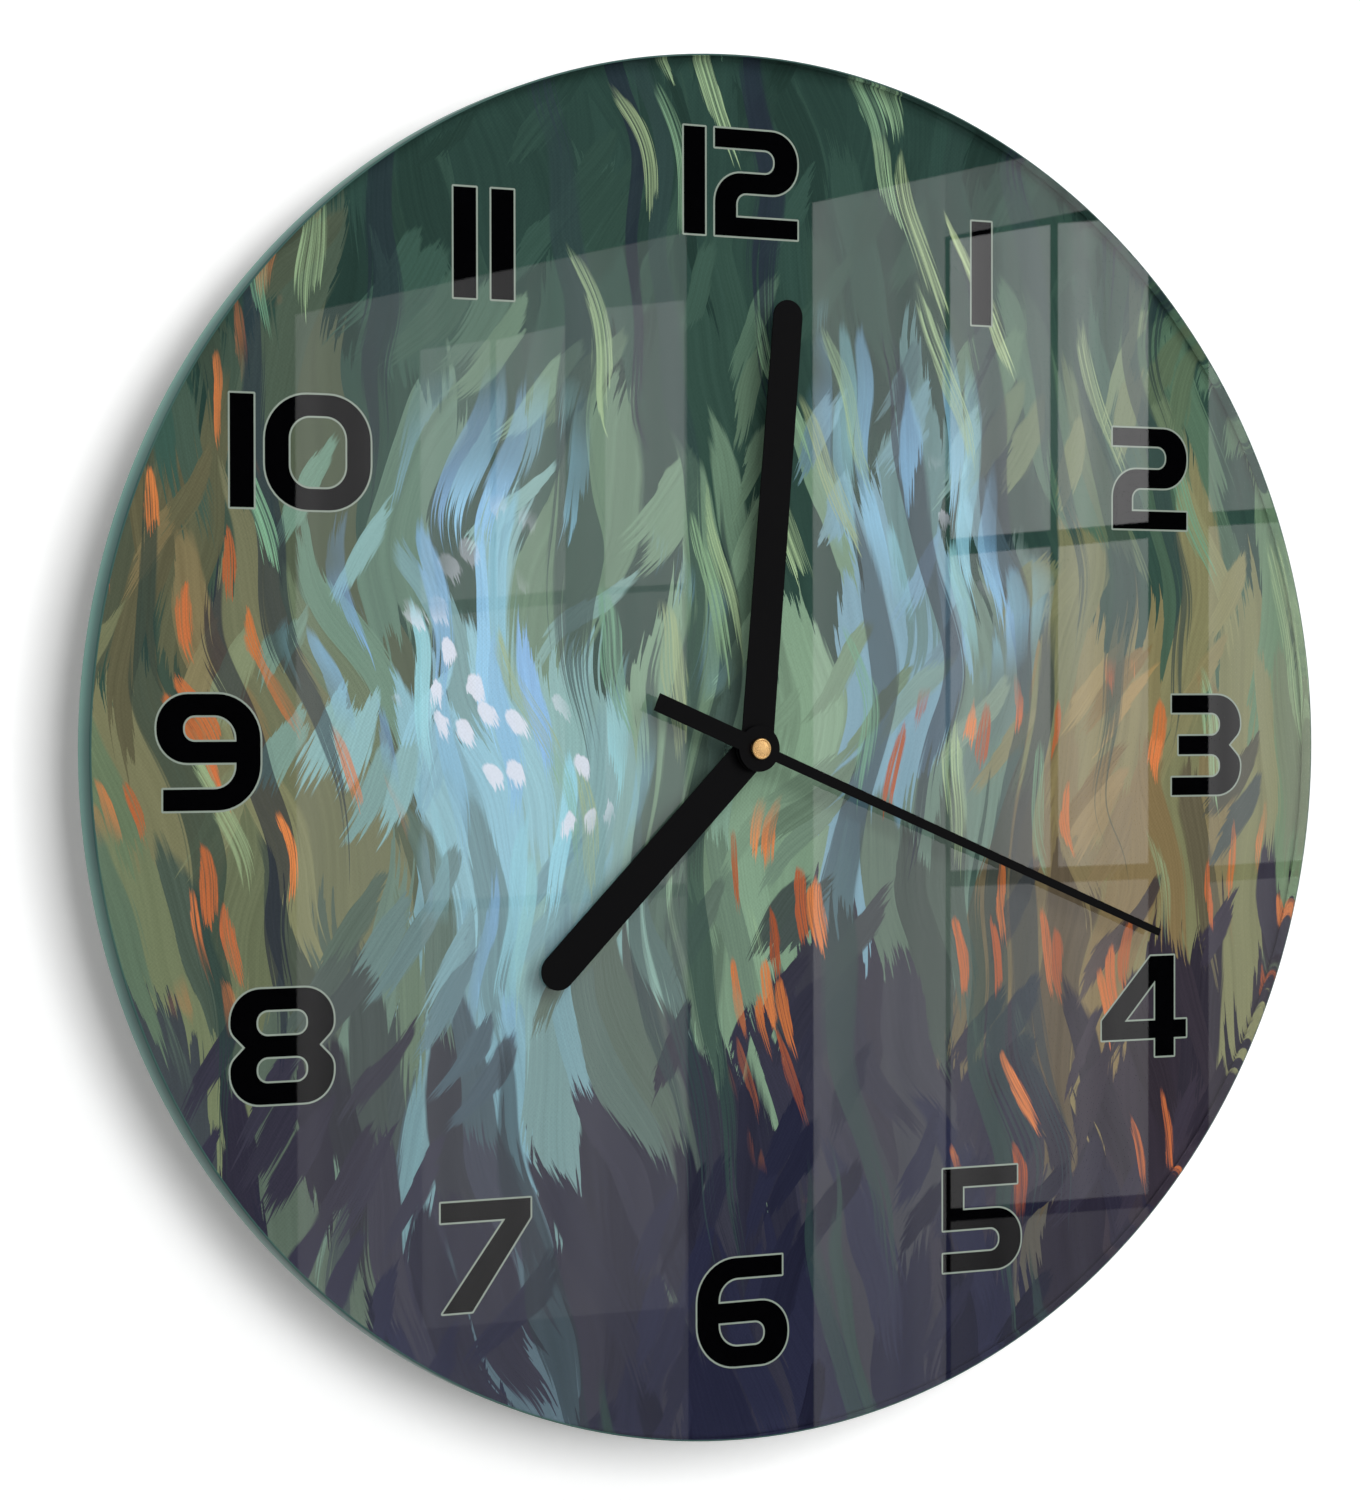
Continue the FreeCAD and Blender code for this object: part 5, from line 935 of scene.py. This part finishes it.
def make_glass_disc():
    """The clear disc with its hole and its rounded, polished edge."""
    shape = bmesh.new()
    turn = Matrix.Rotation(math.radians(90.0), 4, "X")
    for radius, segments in ((GLASS_RADIUS, 256), (GLASS_HOLE, 96)):
        bmesh.ops.create_circle(
            shape, cap_ends=False, segments=segments, radius=radius, matrix=turn
        )
    edges = list(shape.edges)
    bmesh.ops.translate(shape, verts=shape.verts, vec=(0.0, -GLASS_BACK, 0.0))
    filled = bmesh.ops.triangle_fill(shape, use_beauty=True, use_dissolve=False, edges=edges)
    sheet = [f for f in filled["geom"] if isinstance(f, bmesh.types.BMFace)]
    grown = bmesh.ops.extrude_face_region(shape, geom=sheet, use_keep_orig=True)
    moved = [v for v in grown["geom"] if isinstance(v, bmesh.types.BMVert)]
    bmesh.ops.translate(shape, verts=moved, vec=(0.0, GLASS_BACK - GLASS_FRONT, 0.0))
    bmesh.ops.recalc_face_normals(shape, faces=shape.faces)
    for level, size, steps in ((-GLASS_FRONT, FRONT_ARRIS, 3), (-GLASS_BACK, GLASS_ARRIS, 5)):
        rim = [
            e
            for e in shape.edges
            if len(e.link_faces) == 2
            and abs(e.calc_face_angle(0.0)) > math.radians(60.0)
            and min(v.co.xz.length for v in e.verts) > RIM_REACH
            and max(abs(v.co.y - level) for v in e.verts) < 0.01 * MM
        ]
        round_edges(shape, rim, size, steps)
    for face in shape.faces:
        middle = face.calc_center_median()
        rounded = middle.xz.length > GLASS_RADIUS - GLASS_ARRIS * 1.02
        if rounded and face.normal.y > 0.1:
            face.material_index = 3
        elif rounded or abs(face.normal.y) < 0.5:
            face.material_index = 2
        elif middle.y > -(GLASS_BACK + GLASS_FRONT) / 2.0:
            face.material_index = 1
        else:
            face.material_index = 0
    finishes = (
        make_clear_glass(),
        make_bonded_glass(),
        make_edge_glass_with_painted_light(),
        materials["artwork_print"],
    )
    disc = add_piece("glass_disc", shape, "clock", "glass", *finishes, sharp=30.0)
    flat_faces = [f for f in disc.data.polygons if abs(f.normal.y) > 0.999]
    flats = {tuple(sorted(key)) for face in flat_faces for key in face.edge_keys}
    for edge in disc.data.edges:
        if tuple(sorted(edge.vertices)) in flats:
            edge.use_edge_sharp = True
    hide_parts("glass_dial")


def make_turned_cap():
    """The second hand's brass cap: rounded shoulder, bright rim and a shallow dished face."""
    low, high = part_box("second_hand_cap")
    radius, base, top = high.x, high.y, low.y
    profile = [
        (0.0, base, 0.0),
        (radius - 0.10 * MM, base, 0.0),
        (radius, base - 0.10 * MM, 0.0),
        (radius, top + 0.34 * MM, 0.0),
        (radius - 0.06 * MM, top + 0.16 * MM, 0.0),
        (radius - 0.18 * MM, top + 0.04 * MM, 0.0),
        (radius - 0.34 * MM, top, 0.0),
        (radius - 0.52 * MM, top + 0.05 * MM, 0.0),
        (radius - 0.60 * MM, top + 0.16 * MM, 0.0),
        (radius * 0.45, top + 0.10 * MM, 0.0),
        (radius * 0.12, top + 0.05 * MM, 0.0),
        (0.0, top + 0.05 * MM, 0.0),
    ]
    shape = spin_profile(profile, (0.0, 0.0, 0.0), (0.0, 1.0, 0.0), 72)
    finish = turned("cap_brass", (0.94, 0.58, 0.24, 1.0), 0.24, 14000.0, 0.000004)
    cap = add_piece("turned_second_cap", shape, "second", "cap_brass", finish)
    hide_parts("second_hand_cap")


def make_cell():
    """The cell with its crimped shoulders, insulating ring and raised contact."""
    low, high = cell_low, cell_high
    middle = (low + high) / 2.0
    radius = (high.z - low.z) / 2.0
    left, right = low.x, high.x
    shoulder = right - 1.0 * MM
    profile = [
        (left, 0.0),
        (left, 4.4 * MM),
        (left + 0.12 * MM, 4.6 * MM),
        (left + 0.30 * MM, 4.7 * MM),
        (left + 0.30 * MM, radius - 1.1 * MM),
        (left + 0.10 * MM, radius - 0.9 * MM),
        (left + 0.10 * MM, radius - 0.5 * MM),
        (left + 0.30 * MM, radius - 0.14 * MM),
        (left + 0.70 * MM, radius),
        (shoulder - 0.70 * MM, radius),
        (shoulder - 0.25 * MM, radius - 0.15 * MM),
        (shoulder, radius - 0.6 * MM),
        (shoulder, radius - 1.3 * MM),
        (shoulder - 0.25 * MM, radius - 1.6 * MM),
        (shoulder - 0.25 * MM, 3.0 * MM),
        (shoulder, 2.75 * MM),
        (right - 0.25 * MM, 2.70 * MM),
        (right, 2.45 * MM),
        (right, 0.0),
    ]
    points = [(run, middle.y, middle.z + reach) for run, reach in profile]
    shape = spin_profile(points, (0.0, middle.y, middle.z), (1.0, 0.0, 0.0), 96)
    finish = materials["aa_battery"]
    cell = add_piece("power_cell", shape, "battery", "battery_sleeve", finish, sharp=40.0)
    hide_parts("aa_battery")


def soften(node_name, piece_name, body, slot, edge, finish, outer=0.0):
    """A merged copy of a CAD node with its hard edges, or those past outer, rounded."""
    shape = bmesh.new()
    shape.from_mesh(nodes[node_name].data)
    bmesh.ops.remove_doubles(shape, verts=shape.verts, dist=2e-6)
    bmesh.ops.dissolve_limit(
        shape,
        angle_limit=math.radians(0.5),
        verts=shape.verts,
        edges=shape.edges,
        use_dissolve_boundaries=False,
    )
    hard = [
        e
        for e in shape.edges
        if len(e.link_faces) == 2
        and e.calc_face_angle(0.0) > math.radians(HARD_EDGE)
        and min(max(abs(v.co.x), abs(v.co.z)) for v in e.verts) >= outer
    ]
    round_edges(shape, hard, edge, 2, clamp=True)
    piece = add_piece(piece_name, shape, body, slot, finish, sharp=50.0)
    even = piece.modifiers.new("even_shading", "WEIGHTED_NORMAL")
    even.keep_sharp = True
    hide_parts(node_name)


make_glass_disc()
make_turned_cap()
make_cell()
for node_name, piece_name, body, slot, edge, outer in (
    ("hour_hand", "hour_hand_blade", "hour", "hand_black", 0.09, 0.0),
    ("minute_hand", "minute_hand_blade", "minute", "hand_black", 0.09, 0.0),
    ("second_hand", "second_hand_blade", "second", "hand_black", 0.06, 0.0),
    ("front_case", "case_shell", "clock", "case_plastic", 0.35, 27.0),
    ("rear_cover", "cover_plate", "clock", "cover_plastic", 0.25, 11.0),
):
    soften(node_name, piece_name, body, slot, edge * MM, materials[node_name], outer * MM)


# Wall and light


def make_wall_material():
    """White wall that shows shadows from the front and lets the back be seen through it."""
    material, tree, place = new_material("white_wall")
    grain = noise(tree, place, 900.0, 2.0, 0.5)
    plaster = ramp(tree, grain, [(0.3, (0.90, 0.90, 0.90, 1.0)), (0.7, (0.92, 0.92, 0.92, 1.0))])
    path = tree.nodes.new("ShaderNodeLightPath")
    gain = calc(tree, "MULTIPLY_ADD", path.outputs["Is Camera Ray"], WALL_GAIN, 1.0)
    lit = add_node(tree, "BsdfDiffuse", {"Color": scaled(tree, plaster, gain)})
    geometry = tree.nodes.new("ShaderNodeNewGeometry")
    clear = tree.nodes.new("ShaderNodeBsdfTransparent")
    depth = path.outputs["Diffuse Depth"]
    lamp_pass = times(tree, path.outputs["Is Shadow Ray"], below(tree, depth, 0.5))
    sky_pass = times(tree, path.outputs["Is Diffuse Ray"], below(tree, depth, 1.5))
    light_pass = highest(tree, lamp_pass, sky_pass)
    open_side = highest(tree, geometry.outputs["Backfacing"], light_pass)
    sides = add_node(tree, "MixShader", {0: open_side, 1: lit.outputs[0], 2: clear.outputs[0]})
    show(tree, sides.outputs[0])
    return material


def add_board(name, width, height, matrix, finish):
    """A flat stage panel, with its place in its mesh."""
    shape = bmesh.new()
    bmesh.ops.create_grid(shape, x_segments=1, y_segments=1, size=0.5)
    bmesh.ops.scale(shape, vec=(width, height, 1.0), verts=shape.verts)
    bmesh.ops.transform(shape, matrix=matrix, verts=shape.verts)
    mesh = bpy.data.meshes.new(name)
    shape.to_mesh(mesh)
    shape.free()
    board = bpy.data.objects.new(name, mesh)
    bpy.context.scene.collection.objects.link(board)
    mesh.materials.append(finish)
    return board


upright = Matrix.Rotation(math.radians(90.0), 4, "X")
wall_place = Matrix.Translation((0.0, WALL_GAP, 0.0)) @ upright
wall = add_board("wall", WALL_SIZE, WALL_SIZE, wall_place, make_wall_material())
wall.visible_glossy = False


def make_window_material(scale, shift):
    """Daylit windows on a dark room wall, drawn at the size they have on the glass."""
    material, tree, place = new_material("room_windows")
    parts = axes(tree, place)
    across = times(tree, minus(tree, parts["X"], shift[0]), 1000.0 / scale)
    upward = times(tree, minus(tree, parts["Z"], shift[1]), 1000.0 / scale)

    def area(left, right, top, slope, bottom, low_slope):
        """1 inside a pane whose top and bottom lean."""
        past_left = between(tree, across, left - BLUR, left + BLUR)
        before_right = between(tree, across, right + BLUR, right - BLUR)
        head = calc(tree, "MULTIPLY_ADD", minus(tree, across, left), slope, top)
        sill = calc(tree, "MULTIPLY_ADD", minus(tree, across, left), low_slope, bottom)
        under = between(tree, minus(tree, head, upward), -BLUR, BLUR)
        over = between(tree, minus(tree, upward, sill), -BLUR, BLUR)
        return times(tree, times(tree, past_left, before_right), times(tree, under, over))

    panels = [
        (0.34, area(-106.0, -16.0, 89.0, 0.243, -170.0, 0.0)),
        (0.34, area(-78.3, -62.4, 83.0, 0.176, 30.6, 0.10)),
        (0.42, area(-61.0, -45.0, 85.8, 0.24, 32.2, 0.10)),
        (0.40, area(-35.6, -16.6, 93.7, 0.135, 34.4, 0.06)),
        (0.30, area(-78.3, -45.0, 27.6, 0.10, -31.2, 0.03)),
        (0.34, area(-35.6, -16.6, 33.0, 0.06, -29.4, 0.03)),
        (0.20, area(-78.3, -16.6, -33.5, 0.03, -120.0, 0.0)),
        (0.62, area(15.1, 49.0, 119.0, 0.247, -170.0, 0.0)),
        (0.50, area(49.0, 103.5, 127.4, 0.247, 113.5, 0.22)),
        (1.00, area(50.3, 76.8, 112.9, 0.185, 46.4, 0.096)),
        (1.00, area(78.9, 103.5, 118.2, 0.12, 49.0, 0.096)),
        (0.84, area(50.3, 76.8, 42.6, 0.096, -27.6, 0.011)),
        (0.84, area(78.9, 103.5, 45.2, 0.096, -27.3, 0.011)),
        (0.60, area(50.3, 103.5, -31.2, 0.011, -103.0, 0.0)),
        (0.30, area(50.3, 103.5, -106.0, 0.0, -170.0, 0.0)),
        (0.70, area(120.4, 150.0, 120.0, 0.10, 54.0, 0.07)),
        (0.62, area(120.4, 150.0, 50.6, 0.07, -28.0, 0.03)),
        (0.42, area(120.4, 150.0, -31.8, 0.03, -104.0, 0.0)),
    ]
    light = None
    for share, mask in panels:
        lit = times(tree, mask, share)
        light = lit if light is None else plus(tree, light, lit)
    drape = add_node(
        tree,
        "TexNoise",
        {"W": times(tree, across, 0.09), "Scale": 1.0, "Detail": 1.0},
        noise_dimensions="1D",
    ).outputs["Fac"]
    light = times(tree, light, plus(tree, 0.55, times(tree, drape, 0.9)))
    low = between(tree, upward, -150.0, 60.0)
    light = times(tree, light, plus(tree, 0.45, times(tree, low, 0.55)))
    glow = add_node(tree, "Emission", {"Color": (1.0, 0.99, 1.0, 1.0)})
    tree.links.new(times(tree, light, WINDOW_STRENGTH), glow.inputs["Strength"])
    show(tree, glow.outputs[0])
    return material


# Camera

DISTANCE = 0.820083
camera_turn, camera_rise = math.radians(-28.7076), math.radians(0.6393)
away = Vector(
    (
        math.sin(camera_turn) * math.cos(camera_rise),
        -math.cos(camera_turn) * math.cos(camera_rise),
        math.sin(camera_rise),
    )
)
target = Vector((0.0, -GLASS_FRONT, 0.0))
eye = target + away * DISTANCE
forward = -away
right = forward.cross(Vector((0.0, 0.0, 1.0))).normalized()
upward_axis = right.cross(forward)
look = Matrix((right, upward_axis, -forward)).transposed()
look = look @ Matrix.Rotation(math.radians(1.0998), 3, "Y")
look = look @ Matrix.Rotation(math.radians(-0.0198), 3, "X")
look = look @ Matrix.Rotation(math.radians(-0.0797), 3, "Z")
camera_data = bpy.data.cameras.new("camera")
camera_data.lens = 90.76
camera_data.sensor_width = 36.0
camera_data.clip_start = 0.01
camera = bpy.data.objects.new("camera", camera_data)
bpy.context.scene.collection.objects.link(camera)
camera.matrix_world = Matrix.Translation(eye) @ look.to_4x4()
bpy.context.scene.camera = camera

# The glass mirrors this board; its size comes from the camera's mirror image behind the glass.
BOARD_AWAY = 1.2
mirrored = -2.0 * GLASS_FRONT - eye.y
spread = (mirrored + BOARD_AWAY) / (mirrored + GLASS_FRONT)
board_shift = (eye.x * (1.0 - spread), eye.z * (1.0 - spread))
windows = add_board(
    "room_reflection",
    0.32 * spread,
    0.33 * spread,
    Matrix.Translation((board_shift[0], -BOARD_AWAY, board_shift[1])) @ upright,
    make_window_material(spread, board_shift),
)
windows.visible_camera = False
windows.visible_diffuse = False
windows.visible_transmission = False
windows.visible_shadow = False


def add_lamp(name, place, aim, size, power, mirrored_in_gloss=True):
    lamp = bpy.data.lights.new(name, "AREA")
    lamp.shape = "SQUARE"
    lamp.size = size
    lamp.energy = power
    holder = bpy.data.objects.new(name, lamp)
    holder.visible_glossy = mirrored_in_gloss
    bpy.context.scene.collection.objects.link(holder)
    direction = Vector(aim) - Vector(place)
    turn = direction.to_track_quat("-Z", "Y").to_matrix().to_4x4()
    holder.matrix_world = Matrix.Translation(place) @ turn


add_lamp("key_light", (0.75, -1.5, 0.95), (0.0, 0.0, 0.0), 0.6, 3.0)
add_lamp("front_softbox", (-0.05, -1.7, 0.3), (0.0, 0.0, 0.0), 0.85, 19.0, False)
add_lamp("rear_light", (-0.9, 1.3, 0.9), (0.0, 0.0, 0.0), 0.9, 22.0, False)
add_lamp("rear_fill", (1.2, 1.2, -0.3), (0.0, 0.0, 0.0), 0.9, 8.0, False)

world = bpy.data.worlds.new("studio")
bpy.context.scene.world = world
world.use_nodes = True
sky = world.node_tree
sky.nodes.clear()
path = sky.nodes.new("ShaderNodeLightPath")
seen = highest(sky, path.outputs["Is Camera Ray"], path.outputs["Is Transmission Ray"])
strength = calc(sky, "MULTIPLY_ADD", seen, SKY_SEEN, SKY_LIGHT)
strength = calc(sky, "MULTIPLY_ADD", path.outputs["Is Glossy Ray"], SKY_GLOSS, strength)
background = add_node(sky, "Background", {"Color": (1.0, 1.0, 1.0, 1.0)})
sky.links.new(strength, background.inputs["Strength"])
sky.links.new(background.outputs[0], sky.nodes.new("ShaderNodeOutputWorld").inputs["Surface"])

bpy.context.scene.view_settings.view_transform = "Standard"
